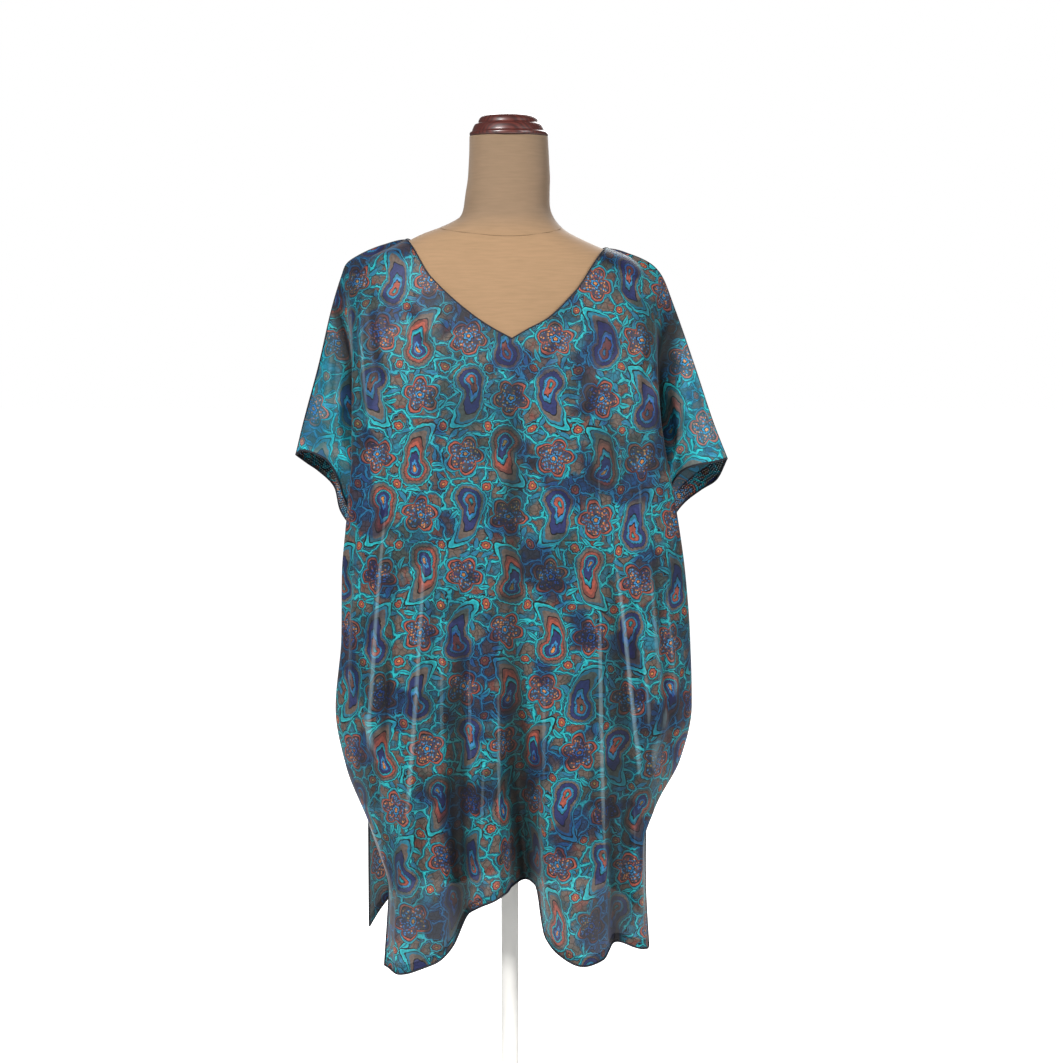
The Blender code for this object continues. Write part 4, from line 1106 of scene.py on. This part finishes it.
# Berries on the sides of the diamonds, rust with a turquoise rim.
half_a, half_b = [node(tree, "Math", {0: s, 1: 0.5}, operation="ADD").outputs[0] for s in (a, b)]
for along_a, along_b in ((half_a, b), (a, half_b)):
    place, lot = repeat_place(tree, along_a, along_b, REPEAT_WIDTH, REPEAT_LENGTH)
    share = petalled(tree, place, BERRY_PETALS, BERRY_DEPTH, BERRY_RADIUS, lot[0])
    berry = stops(
        tree,
        share,
        [
            (0.00, OCHRE), (0.18, OUTLINE), (0.27, RUST), (0.55, OUTLINE),
            (0.64, SMOKE), (0.72, TURQUOISE), (0.90, OUTLINE),
        ],
        "CONSTANT",
    )
    print_and_painted_light_colour = printed_over(tree, print_and_painted_light_colour, share, berry)

# Blossoms, between the curled drops: smoky petals flecked with blue and ochre, with a rust and a teal rim.
place, lot = repeat_place(tree, half_a, half_b, REPEAT_WIDTH, REPEAT_LENGTH)
share = petalled(tree, place, BLOSSOM_PETALS, BLOSSOM_DEPTH, BLOSSOM_RADIUS, lot[0])
blossom = stops(
    tree,
    share,
    [
        (0.00, OCHRE), (0.08, OUTLINE), (0.13, SKY), (0.20, OUTLINE), (0.24, SMOKE), (0.70, OUTLINE),
        (0.745, RUST), (0.83, OUTLINE), (0.87, TEAL), (0.92, TURQUOISE), (0.97, OUTLINE),
    ],
    "CONSTANT",
)
fleck = node(tree, "TexVoronoi", {"Vector": drawn, "Scale": 1 / FLECK_PITCH}, voronoi_dimensions="2D")
fleck_share = node(
    tree, "Math", {0: fleck.outputs["Distance"], 1: 1 / FLECK_SHARE}, operation="MULTIPLY"
).outputs[0]
fleck_kind = node(tree, "SeparateColor", {"Color": fleck.outputs["Color"]}).outputs[0]
fleck_colour = stops(tree, fleck_kind, [(0.0, SKY), (0.35, NAVY), (0.6, RUST), (0.8, OCHRE)], "CONSTANT")
flecked = printed_over(tree, blossom, fleck_share, fleck_colour)
petal = node(tree, "Math", {0: share, 1: FLECKED_MIDDLE, 2: FLECKED_HALF}, operation="COMPARE").outputs[0]
blossom = node(tree, "Mix", {0: petal, 6: blossom, 7: flecked}, data_type="RGBA").outputs[2]
print_and_painted_light_colour = printed_over(tree, print_and_painted_light_colour, share, blossom)

# Curled drops: a round foot, and a tip that curls to one side or the other, some upright and some hanging.
place, lot = repeat_place(tree, a, b, REPEAT_WIDTH, REPEAT_LENGTH)
hands = []
for chance in lot[:2]:
    hand = node(tree, "Math", {0: chance, 1: 0.5}, operation="SUBTRACT").outputs[0]
    hands.append(node(tree, "Math", {0: hand}, operation="SIGN").outputs[0])
hands = node(tree, "CombineXYZ", {"X": hands[0], "Y": hands[1]}).outputs[0]
place = node(tree, "VectorMath", {0: place, 1: hands}, operation="MULTIPLY").outputs[0]
place = node(tree, "VectorMath", {0: place, 1: (DROP_ASIDE, DROP_SHIFT, 0.0)}, operation="ADD").outputs[0]
distance = node(tree, "VectorMath", {0: place}, operation="LENGTH").outputs["Value"]
xy = node(tree, "SeparateXYZ", {"Vector": place})
angle = node(tree, "Math", {0: xy.outputs["Y"], 1: xy.outputs["X"]}, operation="ARCTAN2").outputs[0]
angle = node(tree, "Math", {0: distance, 1: DROP_CURL, 2: angle}, operation="MULTIPLY_ADD").outputs[0]
tip = node(tree, "Math", {0: angle, 1: DROP_LEAN}, operation="SUBTRACT").outputs[0]
tip = node(tree, "Math", {0: tip}, operation="SINE").outputs[0]
tip = node(tree, "Math", {0: tip, 1: 0.0}, operation="MAXIMUM").outputs[0]
tip = node(tree, "Math", {0: tip, 1: DROP_TIP}, operation="POWER").outputs[0]
reach = node(
    tree, "Math", {0: tip, 1: DROP_REACH * DROP_FOOT, 2: DROP_FOOT}, operation="MULTIPLY_ADD"
).outputs[0]
share = node(tree, "Math", {0: distance, 1: reach}, operation="DIVIDE").outputs[0]
notch = node(tree, "Math", {0: angle, 1: DROP_NOTCHES}, operation="MULTIPLY").outputs[0]
notch = node(tree, "Math", {0: notch}, operation="SINE").outputs[0]
notched = node(tree, "Math", {0: notch, 1: NOTCH_DEPTH, 2: share}, operation="MULTIPLY_ADD").outputs[0]
warm = stops(
    tree,
    notched,
    [
        (0.00, OCHRE), (0.08, OUTLINE), (0.12, SKY), (0.18, NAVY), (0.35, OUTLINE), (0.385, TURQUOISE),
        (0.43, TEAL), (0.47, OUTLINE), (0.50, RUST), (0.58, BRICK), (0.65, OUTLINE), (0.68, TAUPE),
        (0.80, SLATE), (0.86, OUTLINE), (0.885, TURQUOISE), (0.93, AQUA), (0.96, OUTLINE),
    ],
    "CONSTANT",
)
cool = stops(
    tree,
    notched,
    [
        (0.00, TURQUOISE), (0.07, OUTLINE), (0.11, RUST), (0.25, OUTLINE), (0.285, SKY), (0.34, TEAL),
        (0.40, OUTLINE), (0.43, NAVY), (0.62, OUTLINE), (0.65, TAUPE), (0.78, TEAL), (0.85, OUTLINE),
        (0.88, TURQUOISE), (0.94, AQUA), (0.965, OUTLINE),
    ],
    "CONSTANT",
)
kind = node(tree, "Math", {0: lot[2], 1: COOL_DROPS}, operation="LESS_THAN").outputs[0]
drop = node(tree, "Mix", {0: kind, 6: warm, 7: cool}, data_type="RGBA").outputs[2]
print_and_painted_light_colour = printed_over(tree, print_and_painted_light_colour, share, drop)

# The dye takes unevenly: soft navy and teal shadows, and a mottle within each colour.
cloud = node(
    tree, "TexNoise", {"Vector": on_cloth, "Scale": SHADOWS_PER_METRE, "Detail": 2.0}
).outputs["Color"]
cloud = node(tree, "SeparateColor", {"Color": cloud}).outputs
for kind, (hex_colour, low, high, most) in enumerate(SHADOWS):
    share = node(
        tree, "MapRange", {"Value": cloud[kind], "From Min": low, "From Max": high, "To Max": most}
    ).outputs[0]
    print_and_painted_light_colour = node(
        tree,
        "Mix",
        {0: share, 6: print_and_painted_light_colour, 7: linear(hex_colour)},
        data_type="RGBA",
        blend_type="MULTIPLY",
    ).outputs[2]
mottle = node(
    tree, "TexNoise", {"Vector": on_cloth, "Scale": MOTTLES_PER_METRE, "Detail": 3.0}
).outputs["Fac"]
mottle = node(
    tree,
    "MapRange",
    {
        "Value": mottle,
        "From Min": 0.5 - MOTTLE_SPREAD,
        "From Max": 0.5 + MOTTLE_SPREAD,
        "To Min": 1 - MOTTLE_DEPTH,
        "To Max": 1 + MOTTLE_DEPTH,
    },
).outputs[0]
print_and_painted_light_colour = node(tree, "VectorMath", {0: print_and_painted_light_colour, "Scale": mottle}, operation="SCALE").outputs[0]

# Painted light and shade on the sheer cloth: painted shade darkens it in a groove, where it lies in layers, a
# painted highlight pales it along a sharp ridge, where it is drawn thin, and painted light brightens and pales
# the sleeves, where only light lies behind them.
groove_painted_shade, ridge_painted_highlight, alone = [
    node(tree, "Attribute", attribute_name=kind).outputs["Fac"] for kind in ("groove", "ridge", "alone")
]
for share, tone in ((groove_painted_shade, GROOVE_SHADE_TONE), (alone, SLEEVE_LIGHT_TONE)):
    tone = node(tree, "MapRange", {"Value": share, "To Min": 1.0, "To Max": tone}).outputs[0]
    print_and_painted_light_colour = node(tree, "VectorMath", {0: print_and_painted_light_colour, "Scale": tone}, operation="SCALE").outputs[0]
ridge_painted_highlight = node(
    tree,
    "MapRange",
    {"Value": ridge_painted_highlight, "From Min": RIDGE_STARTS, "From Max": RIDGE_ENDS, "To Max": RIDGE_HIGHLIGHT_PALENESS},
).outputs[0]
alone = node(tree, "Math", {0: alone, 1: SLEEVE_LIGHT_PALENESS}, operation="MULTIPLY").outputs[0]
for share, hex_colour in ((ridge_painted_highlight, PAINTED_RIDGE_HIGHLIGHT), (alone, PAINTED_SLEEVE_LIGHT)):
    print_and_painted_light_colour = node(
        tree, "Mix", {0: share, 6: print_and_painted_light_colour, 7: linear(hex_colour)}, data_type="RGBA"
    ).outputs[2]

crepe = node(tree, "TexNoise", {"Vector": on_cloth, "Scale": 1 / CREPE_PITCH, "Detail": 2.0}).outputs["Fac"]
bump = node(tree, "Bump", {"Height": crepe, "Strength": 0.25, "Distance": 0.0006}).outputs["Normal"]
surface = node(
    tree,
    "BsdfPrincipled",
    {
        "Base Color": print_and_painted_light_colour,
        "Roughness": 0.58,
        "Specular IOR Level": 0.35,
        "Sheen Weight": 0.22,
        "Sheen Roughness": 0.4,
        "Normal": bump,
    },
).outputs["BSDF"]
through = node(tree, "BsdfTranslucent", {"Color": print_and_painted_light_colour, "Normal": bump}).outputs["BSDF"]
body = node(tree, "MixShader", {0: THROUGH_SHARE, 1: surface, 2: through}).outputs[0]
dye = node(
    tree, "Mix", {0: DYE_CLEAR, 6: print_and_painted_light_colour, 7: (1.0, 1.0, 1.0, 1.0)}, data_type="RGBA"
).outputs[2]
clear = node(tree, "BsdfTransparent", {"Color": dye}).outputs["BSDF"]
sheer = node(tree, "MixShader", {0: SHEER_SHARE, 1: body, 2: clear}).outputs[0]
tree.links.new(sheer, output.inputs["Surface"])

# Rolled edge: the chiffon rolled tight and sewn over with navy thread, so that it lets no light through.
NAVY_THREAD_DARK, NAVY_THREAD_LIGHT, OVERCAST_PER_METRE = "#03050A", "#0E1426", 700.0
rolled, tree, output = new_material("rolled chiffon edge")
place = node(tree, "TexCoord").outputs["Object"]
overcast = node(
    tree, "TexNoise", {"Vector": place, "Scale": OVERCAST_PER_METRE, "Detail": 2.0}
).outputs["Fac"]
colour = node(
    tree, "Mix", {0: overcast, 6: linear(NAVY_THREAD_DARK), 7: linear(NAVY_THREAD_LIGHT)}, data_type="RGBA"
)
bump = node(tree, "Bump", {"Height": overcast, "Strength": 0.4, "Distance": 0.0005})
shader = node(
    tree,
    "BsdfPrincipled",
    {"Base Color": colour.outputs[2], "Roughness": 0.7, "Normal": bump.outputs["Normal"]},
)
tree.links.new(shader.outputs["BSDF"], output.inputs["Surface"])

NECK_ROLL, HEM_ROLL = 0.0010, 0.0015
# Turned hems: the sleeve's is wide with rows of stitching, and the skirt's is narrow with one row.
SLEEVE_HEM, SLEEVE_STITCH_ROWS = 0.024, (0.005, 0.009, 0.013, 0.017, 0.021)
SKIRT_HEM, SKIRT_STITCH_ROWS = 0.012, (0.011,)
HEM_LIFT, BAND_STEPS = 0.0007, 9
# Columns and rows of the mesh that a hem is read from, which is more than it covers.
SLEEVE_HEM_COLUMNS, SKIRT_HEM_ROWS = 60, 24
STITCH_LENGTH, STITCH_PITCH, STITCH_RADIUS, STITCH_LIFT = 0.0021, 0.0034, 0.0003, 0.0002

# Thread: spun polyester, pale grey-blue inside the sleeves and navy on the outside.
THREAD_GREY, THREAD_PALE, PLIES_PER_METRE = "#7E93A0", "#C3CED3", 2500.0
pale_thread, tree, output = new_material("pale sewing thread")
place = node(tree, "TexCoord").outputs["Object"]
ply = node(tree, "TexNoise", {"Vector": place, "Scale": PLIES_PER_METRE, "Detail": 1.0}).outputs["Fac"]
colour = node(tree, "Mix", {0: ply, 6: linear(THREAD_GREY), 7: linear(THREAD_PALE)}, data_type="RGBA")
shader = node(tree, "BsdfPrincipled", {"Base Color": colour.outputs[2], "Roughness": 0.5})
tree.links.new(shader.outputs["BSDF"], output.inputs["Surface"])


def nearest_row(grid, column, point):
    """The row at which a column of a grid comes nearest to a point."""
    return int(np.argmin(np.linalg.norm(grid[:, column] - np.array(point), axis=1)))


def turned_hem(lines, cloth_lines, normal_lines, depth):
    """Grid and cloth places of a turned hem inside a panel, from lines that run inwards from its edge."""
    steps = np.linspace(0, depth, BAND_STEPS)
    band, cloth = [], []
    for line, on_cloth, normal in zip(lines, cloth_lines, normal_lines):
        run = np.concatenate([[0], np.cumsum(np.linalg.norm(np.diff(line, axis=0), axis=1))])
        point, place_at, out = [
            np.stack([np.interp(steps, run, values[:, k]) for k in range(values.shape[1])], axis=1)
            for values in (line, on_cloth, normal)
        ]
        band.append(point - out * HEM_LIFT)
        cloth.append(place_at)
    return np.array(band), np.array(cloth)


def stitch_rows(name, band, side, depth, rows, lift, material):
    """Rows of stitches along a turned hem, as one mesh of small rounded dashes."""
    normal = grid_normals(band, side)
    bm = bmesh.new()
    for row in rows:
        at = row / depth * (band.shape[1] - 1)
        low = min(int(at), band.shape[1] - 2)
        share = at - low
        line = band[:, low] * (1 - share) + band[:, low + 1] * share + normal[:, low] * lift
        run = np.concatenate([[0], np.cumsum(np.linalg.norm(np.diff(line, axis=0), axis=1))])
        for start in np.arange(STITCH_PITCH / 2, run[-1] - STITCH_LENGTH, STITCH_PITCH):
            ends = (start, start + STITCH_LENGTH)
            a, b = [Vector([np.interp(end, run, line[:, k]) for k in range(3)]) for end in ends]
            turn = (b - a).to_track_quat("X", "Z").to_matrix().to_4x4()
            size = Matrix.Diagonal((STITCH_LENGTH / 2, STITCH_RADIUS, STITCH_RADIUS, 1.0))
            place_at = Matrix.Translation((a + b) / 2) @ turn @ size
            bmesh.ops.create_uvsphere(bm, u_segments=6, v_segments=4, radius=1.0, matrix=place_at)
    return finish_mesh(name, bm, material, sharp=None)


def make_panel(name, side, grid, places, flat):
    """The sheet of one panel with its rolled edges, turned hems and stitches, as (sheet, pieces on it)."""
    height = grid[:, :, 2]
    # Painted light: the material lightens and pales the print on the sleeves by this mask.
    alone = ease(GROOVE_FLAT, FACE_FLAT, np.abs(flat))[None] * ease(SLEEVE_LOW, SLEEVE_HIGH, height)
    slot_painted_shade = np.exp(-(((np.abs(flat) - GROOVE_FLAT) / SLOT_WIDTH) ** 2))[None]
    slot_painted_shade = slot_painted_shade * ease(SLOT_FOOT, SLOT_FOOT + SLOT_FOOT_FADE, height)
    slot_painted_shade = slot_painted_shade * (1 - ease(SLOT_HEAD - SLOT_HEAD_FADE, SLOT_HEAD, height))
    # Painted shade: how deep each point lies in a groove, and in the groove by each sleeve.
    groove_painted_shade_depth = np.clip(slot_painted_shade - fold_relief(grid, side, GROOVE_PASSES, GROOVE_FULL), 0, 1)
    below_edge = ease(0.0, EDGE_SHARE, np.arange(len(grid)) / (len(grid) - 1))[:, None]
    # Painted highlight: how far each point stands up on a sharp ridge, below the upper edge.
    ridge_painted_highlight_rise = np.clip(fold_relief(grid, side, RIDGE_PASSES, RIDGE_FULL), 0, 1) * below_edge
    sheet = cloth_sheet(
        name + "_sheet", grid, places, side, chiffon, groove=groove_painted_shade_depth, ridge=ridge_painted_highlight_rise, alone=alone
    )
    normal = grid_normals(grid, side)
    on_neck = np.abs(flat) <= NECK_HALF + WELD
    pieces = [seam_tube(name + "_neck_edge", grid[0, on_neck], NECK_ROLL, rolled)]
    edge = []
    # Each side's column of the mesh, the step inwards from it, and the sign of X there.
    for column, inwards, side_name, sign in ((0, 1, "left", -1), (-1, -1, "right", 1)):
        underarm, slit = SIDE_SEAM[side_name][0], SIDE_SEAM[side_name][-1]
        arm_row = nearest_row(grid, column, (sign * underarm[0], underarm[1], underarm[2]))
        slit_row = nearest_row(grid, column, (sign * slit[0], slit[1], slit[2]))
        inner = column % grid.shape[1] + inwards * np.arange(SLEEVE_HEM_COLUMNS)
        rows = np.arange(arm_row + 1)
        lines = [values[np.ix_(rows, inner)] for values in (grid, places, normal)]
        band, cloth = turned_hem(*lines, SLEEVE_HEM)
        pieces.append(cloth_sheet(f"{name}_{side_name}_sleeve_hem", band, cloth, side, chiffon))
        pieces.append(
            stitch_rows(
                f"{name}_{side_name}_sleeve_stitches", band, -side, SLEEVE_HEM, SLEEVE_STITCH_ROWS,
                STITCH_LIFT, pale_thread,
            )
        )
        pieces.append(
            stitch_rows(
                f"{name}_{side_name}_sleeve_topstitch", band, side, SLEEVE_HEM, SLEEVE_STITCH_ROWS[-1:],
                HEM_LIFT + STITCH_LIFT, rolled,
            )
        )
        open_edge = grid[: arm_row + 1, column]
        pieces.append(seam_tube(f"{name}_{side_name}_sleeve_edge", open_edge, HEM_ROLL, rolled))
        down_slit = list(grid[slit_row:, column])
        edge = down_slit + edge if side_name == "left" else edge + down_slit[::-1]
        if side_name == "left":
            edge = edge + list(grid[-1, 1:-1])
    pieces.append(seam_tube(name + "_rolled_hem", edge, HEM_ROLL, rolled))
    upwards = [values[::-1][:SKIRT_HEM_ROWS].transpose(1, 0, 2) for values in (grid, places, normal)]
    band, cloth = turned_hem(*upwards, SKIRT_HEM)
    pieces.append(cloth_sheet(name + "_skirt_hem", band, cloth, side, chiffon))
    pieces.append(
        stitch_rows(
            name + "_skirt_stitches", band, side, SKIRT_HEM, SKIRT_STITCH_ROWS, HEM_LIFT + STITCH_LIFT, rolled
        )
    )
    return sheet, pieces


grid, flat = panel_grid(-1, FRONT_NECK, FRONT_GUIDES, FRONT_OPENING, FRONT_SLIT, FRONT_FOLDS, FRONT_HEM)
places = flat_pattern(grid)
body = 1 - ease(CREST_FLAT, GROOVE_FLAT, np.abs(flat))[None]
grid = crease(grid, -1, FRONT_CREASES, np.broadcast_to(body, grid.shape[:2]))
on_sleeve = ease(GROOVE_FLAT, FACE_FLAT, np.abs(flat))[None] * ease(CREASED_LOW, CREASED_HIGH, grid[:, :, 2])
grid = crease(grid, -1, SLEEVE_CREASES, on_sleeve)
grid = settle(grid, flat)
front, on_front = make_panel("front_panel", -1, grid, places, flat)
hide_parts("front_panel")
for piece in (front, *on_front):
    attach(piece, "root")

# ---------------------------------------------------------------------------------------------------------
# Back panel. The same chiffon, cut like the front but with a shallow scooped neck, sewn to the front at the
# shoulders, along the upper edge of the sleeves and down the sides to the slits.
BACK_NECK = {
    # flat distance from the centre, out, height
    "left": [(0.0, 0.0, 1.3040), (0.070, 0.0660, 1.3060), (0.120, 0.1170, 1.3150)],
    "right": [(0.0, 0.0, 1.3040), (0.070, 0.0640, 1.3040), (0.120, 0.1130, 1.3070)],
}
BACK_GUIDES = {
    # height, depth of the flat back, then out and depth of the body fold, the groove behind it and the side
    "left": [
        (1.230, 0.094, 0.2080, 0.046, 0.2250, 0.018, 0.2420, 0.018),
        (1.150, 0.104, 0.2020, 0.072, 0.2150, 0.026, 0.2540, 0.016),
        (1.090, 0.108, 0.2010, 0.080, 0.2110, 0.032, 0.2420, 0.026),
        (1.030, 0.110, 0.2030, 0.084, 0.2080, 0.038, 0.2280, 0.034),
        (0.980, 0.111, 0.2060, 0.084, 0.2060, 0.044, 0.2180, 0.034),
        (0.930, 0.113, 0.2110, 0.082, 0.2040, 0.048, 0.2100, 0.028),
        (0.870, 0.118, 0.2160, 0.080, 0.2070, 0.050, 0.2070, 0.026),
        (0.780, 0.122, 0.2220, 0.078, 0.2140, 0.050, 0.2080, 0.028),
        (0.680, 0.124, 0.2270, 0.078, 0.2200, 0.050, 0.2130, 0.028),
        (0.600, 0.122, 0.2200, 0.078, 0.2150, 0.050, 0.2090, 0.028),
        (0.515, 0.118, 0.2030, 0.080, 0.2040, 0.052, 0.2040, 0.028),
        (0.420, 0.114, 0.1860, 0.094, 0.1980, 0.082, 0.2040, 0.070),
        (0.330, 0.110, 0.1740, 0.104, 0.1920, 0.098, 0.2030, 0.090),
    ],
    "right": [
        (1.230, 0.094, 0.1920, 0.046, 0.2080, 0.018, 0.2260, 0.018),
        (1.150, 0.104, 0.1900, 0.070, 0.2060, 0.026, 0.2500, 0.016),
        (1.090, 0.108, 0.1960, 0.078, 0.2080, 0.032, 0.2400, 0.026),
        (1.030, 0.110, 0.2030, 0.082, 0.2090, 0.038, 0.2300, 0.034),
        (0.980, 0.111, 0.2080, 0.082, 0.2070, 0.044, 0.2180, 0.034),
        (0.930, 0.113, 0.2150, 0.080, 0.2060, 0.048, 0.2100, 0.028),
        (0.870, 0.118, 0.2220, 0.078, 0.2110, 0.050, 0.2090, 0.028),
        (0.780, 0.122, 0.2300, 0.076, 0.2200, 0.050, 0.2110, 0.030),
        (0.680, 0.124, 0.2340, 0.076, 0.2260, 0.050, 0.2140, 0.031),
        (0.600, 0.122, 0.2220, 0.078, 0.2160, 0.052, 0.2090, 0.030),
        (0.530, 0.118, 0.1980, 0.080, 0.1990, 0.054, 0.1980, 0.028),
        (0.420, 0.112, 0.1740, 0.096, 0.1840, 0.084, 0.1890, 0.070),
        (0.330, 0.108, 0.1640, 0.104, 0.1790, 0.098, 0.1860, 0.090),
    ],
}
# The sleeve's open edge and the slit's edge at the back: out, depth, height.
BACK_OPENING = {
    "left": [
        (0.2824, 0.013, 1.0169),
        (0.2690, 0.024, 1.0060),
        (0.2460, 0.034, 0.9790),
        (0.2400, 0.034, 0.9510),
    ],
    "right": [
        (0.2900, 0.016, 0.9940),
        (0.2690, 0.030, 0.9780),
        (0.2480, 0.035, 0.9610),
        (0.2340, 0.030, 0.9450),
    ],
}
BACK_SLIT = {
    "left": [(0.2050, 0.052, 0.420), (0.2075, 0.082, 0.328)],
    "right": [(0.1900, 0.056, 0.430), (0.1880, 0.082, 0.352)],
}
BACK_HEM = [
    # place on X, height
    (-0.208, 0.328),
    (-0.190, 0.354),
    (-0.165, 0.382),
    (-0.100, 0.392),
    (0.000, 0.398),
    (0.090, 0.394),
    (0.150, 0.384),
    (0.188, 0.352),
]
BACK_FOLDS = [
    # place on X at the top, middle and hem, heights of top and middle, rise at the middle and the hem, width
    (-0.010, -0.014, -0.020, 1.050, 0.800, 0.006, 0.030, 0.026),
    (0.050, 0.052, 0.046, 0.880, 0.640, -0.004, -0.030, 0.018),
    (0.095, 0.108, 0.112, 0.980, 0.740, 0.008, 0.022, 0.020),
    (0.150, 0.158, 0.150, 0.860, 0.640, -0.004, -0.018, 0.012),
    (-0.075, -0.080, -0.082, 0.900, 0.660, -0.004, -0.030, 0.018),
    (-0.120, -0.134, -0.132, 0.960, 0.720, 0.008, 0.020, 0.018),
    (-0.160, -0.176, -0.168, 0.840, 0.640, -0.004, -0.016, 0.012),
]
# The joining seams are sewn with a narrow rolled allowance.
JOIN_RADIUS = 0.0010
BACK_CREASES = [
    # x and height of both ends, bow to the side, rise, width
    (-0.170, 1.270, -0.090, 1.080, 0.012, 0.0024, 0.011),
    (0.160, 1.260, 0.080, 1.070, -0.012, 0.0024, 0.011),
    (-0.110, 1.260, -0.040, 1.120, 0.008, 0.0018, 0.010),
    (0.104, 1.250, 0.030, 1.110, -0.008, 0.0018, 0.010),
    (-0.190, 1.180, -0.176, 0.960, 0.004, 0.0028, 0.008),
    (0.180, 1.170, 0.172, 0.950, -0.004, 0.0028, 0.008),
    (-0.150, 1.060, -0.156, 0.820, 0.004, 0.0026, 0.008),
    (0.140, 1.080, 0.150, 0.840, -0.004, 0.0026, 0.008),
    (-0.048, 1.060, -0.054, 0.820, 0.004, 0.0022, 0.008),
    (0.026, 1.000, 0.022, 0.760, -0.003, 0.0024, 0.008),
    (-0.100, 0.900, -0.106, 0.620, 0.003, 0.0030, 0.007),
    (0.078, 0.880, 0.080, 0.620, -0.003, 0.0030, 0.007),
    (-0.036, 0.780, -0.050, 0.500, 0.003, 0.0028, 0.007),
    (0.132, 0.760, 0.130, 0.500, -0.003, 0.0030, 0.007),
    (-0.150, 0.700, -0.152, 0.460, 0.003, 0.0030, 0.007),
    (0.010, 0.600, 0.012, 0.420, 0.002, 0.0026, 0.007),
    (-0.190, 0.840, -0.186, 0.560, 0.004, 0.0028, 0.008),
    (0.190, 0.840, 0.180, 0.560, -0.004, 0.0028, 0.008),
]

grid, flat = panel_grid(1, BACK_NECK, BACK_GUIDES, BACK_OPENING, BACK_SLIT, BACK_FOLDS, BACK_HEM)
places = flat_pattern(grid)
grid = crease(grid, 1, BACK_CREASES, np.broadcast_to(body, grid.shape[:2]))
grid = settle(grid, flat)
back, on_back = make_panel("back_panel", 1, grid, places, flat)
for side_name, column, sign in (("left", 0, -1), ("right", -1, 1)):
    underarm, slit = [
        nearest_row(grid, column, (sign * out, depth, height))
        for out, depth, height in (SIDE_SEAM[side_name][0], SIDE_SEAM[side_name][-1])
    ]
    over_shoulder = grid[0, sign * flat >= NECK_HALF] - (0, SEAM_HALF_GAP, 0)
    down_side = grid[underarm:slit, column] - (0, SEAM_HALF_GAP, 0)
    on_back.append(seam_tube(f"{side_name}_shoulder_seam", over_shoulder, JOIN_RADIUS, rolled))
    on_back.append(seam_tube(f"{side_name}_side_seam", down_side, JOIN_RADIUS, rolled))
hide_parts("back_panel")
for piece in (back, *on_back):
    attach(piece, "root")

# ---------------------------------------------------------------------------------------------------------
# Studio. A white floor and soft white light from all round, with a strong lamp in front on the left, and two
# weaker ones in front on the right and behind.
FLOOR_SIZE, FLOOR_GLOW, FLOOR_WHITE = 40.0, 0.97, "#F4F4F4"
bm = bmesh.new()
bmesh.ops.create_grid(bm, x_segments=1, y_segments=1, size=FLOOR_SIZE / 2)
white, tree, output = new_material("white studio floor")
shader = node(tree, "BsdfDiffuse", {"Color": linear(FLOOR_WHITE)})
seen = node(tree, "LightPath").outputs["Is Camera Ray"]
glow = node(tree, "Math", {0: seen, 1: FLOOR_GLOW}, operation="MULTIPLY").outputs[0]
glow = node(tree, "Emission", {"Strength": glow})
shader = node(tree, "AddShader", {0: shader.outputs["BSDF"], 1: glow.outputs["Emission"]})
tree.links.new(shader.outputs[0], output.inputs["Surface"])
floor = finish_mesh("floor", bm, white, sharp=None)

# The white all round is seen at full strength, and lights the cloth less, so that its folds show.
WHITE_SEEN, WHITE_ON_CLOTH = 1.0, 0.11
world = bpy.data.worlds.new("studio")
world.use_nodes = True
tree = world.node_tree
seen = node(tree, "LightPath").outputs["Is Camera Ray"]
strength = node(
    tree,
    "MapRange",
    {"Value": seen, "To Min": WHITE_ON_CLOTH, "To Max": WHITE_SEEN},
).outputs[0]
background = tree.nodes["Background"]
background.inputs["Color"].default_value = (1.0, 1.0, 1.0, 1.0)
tree.links.new(strength, background.inputs["Strength"])
bpy.context.scene.world = world
# Colours are shown as they are, with no film curve.
bpy.context.scene.view_settings.view_transform = "Standard"

LAMPS = [
    # name, place, width, power in watts
    ("key", (-1.5, -2.3, 3.0), 0.7, 152.0),
    ("fill", (2.4, -2.2, 2.4), 1.4, 80.0),
    ("back", (0.6, 2.6, 2.4), 2.0, 80.0),
]
LAMP_AIM = Vector((0.0, 0.0, 0.9))
for name, place_at, width, power in LAMPS:
    lamp = bpy.data.lights.new(name, "AREA")
    lamp.size = width
    lamp.energy = power
    holder = bpy.data.objects.new(name, lamp)
    holder.location = place_at
    holder.rotation_euler = (LAMP_AIM - Vector(place_at)).to_track_quat("-Z", "Y").to_euler()
    bpy.context.scene.collection.objects.link(holder)
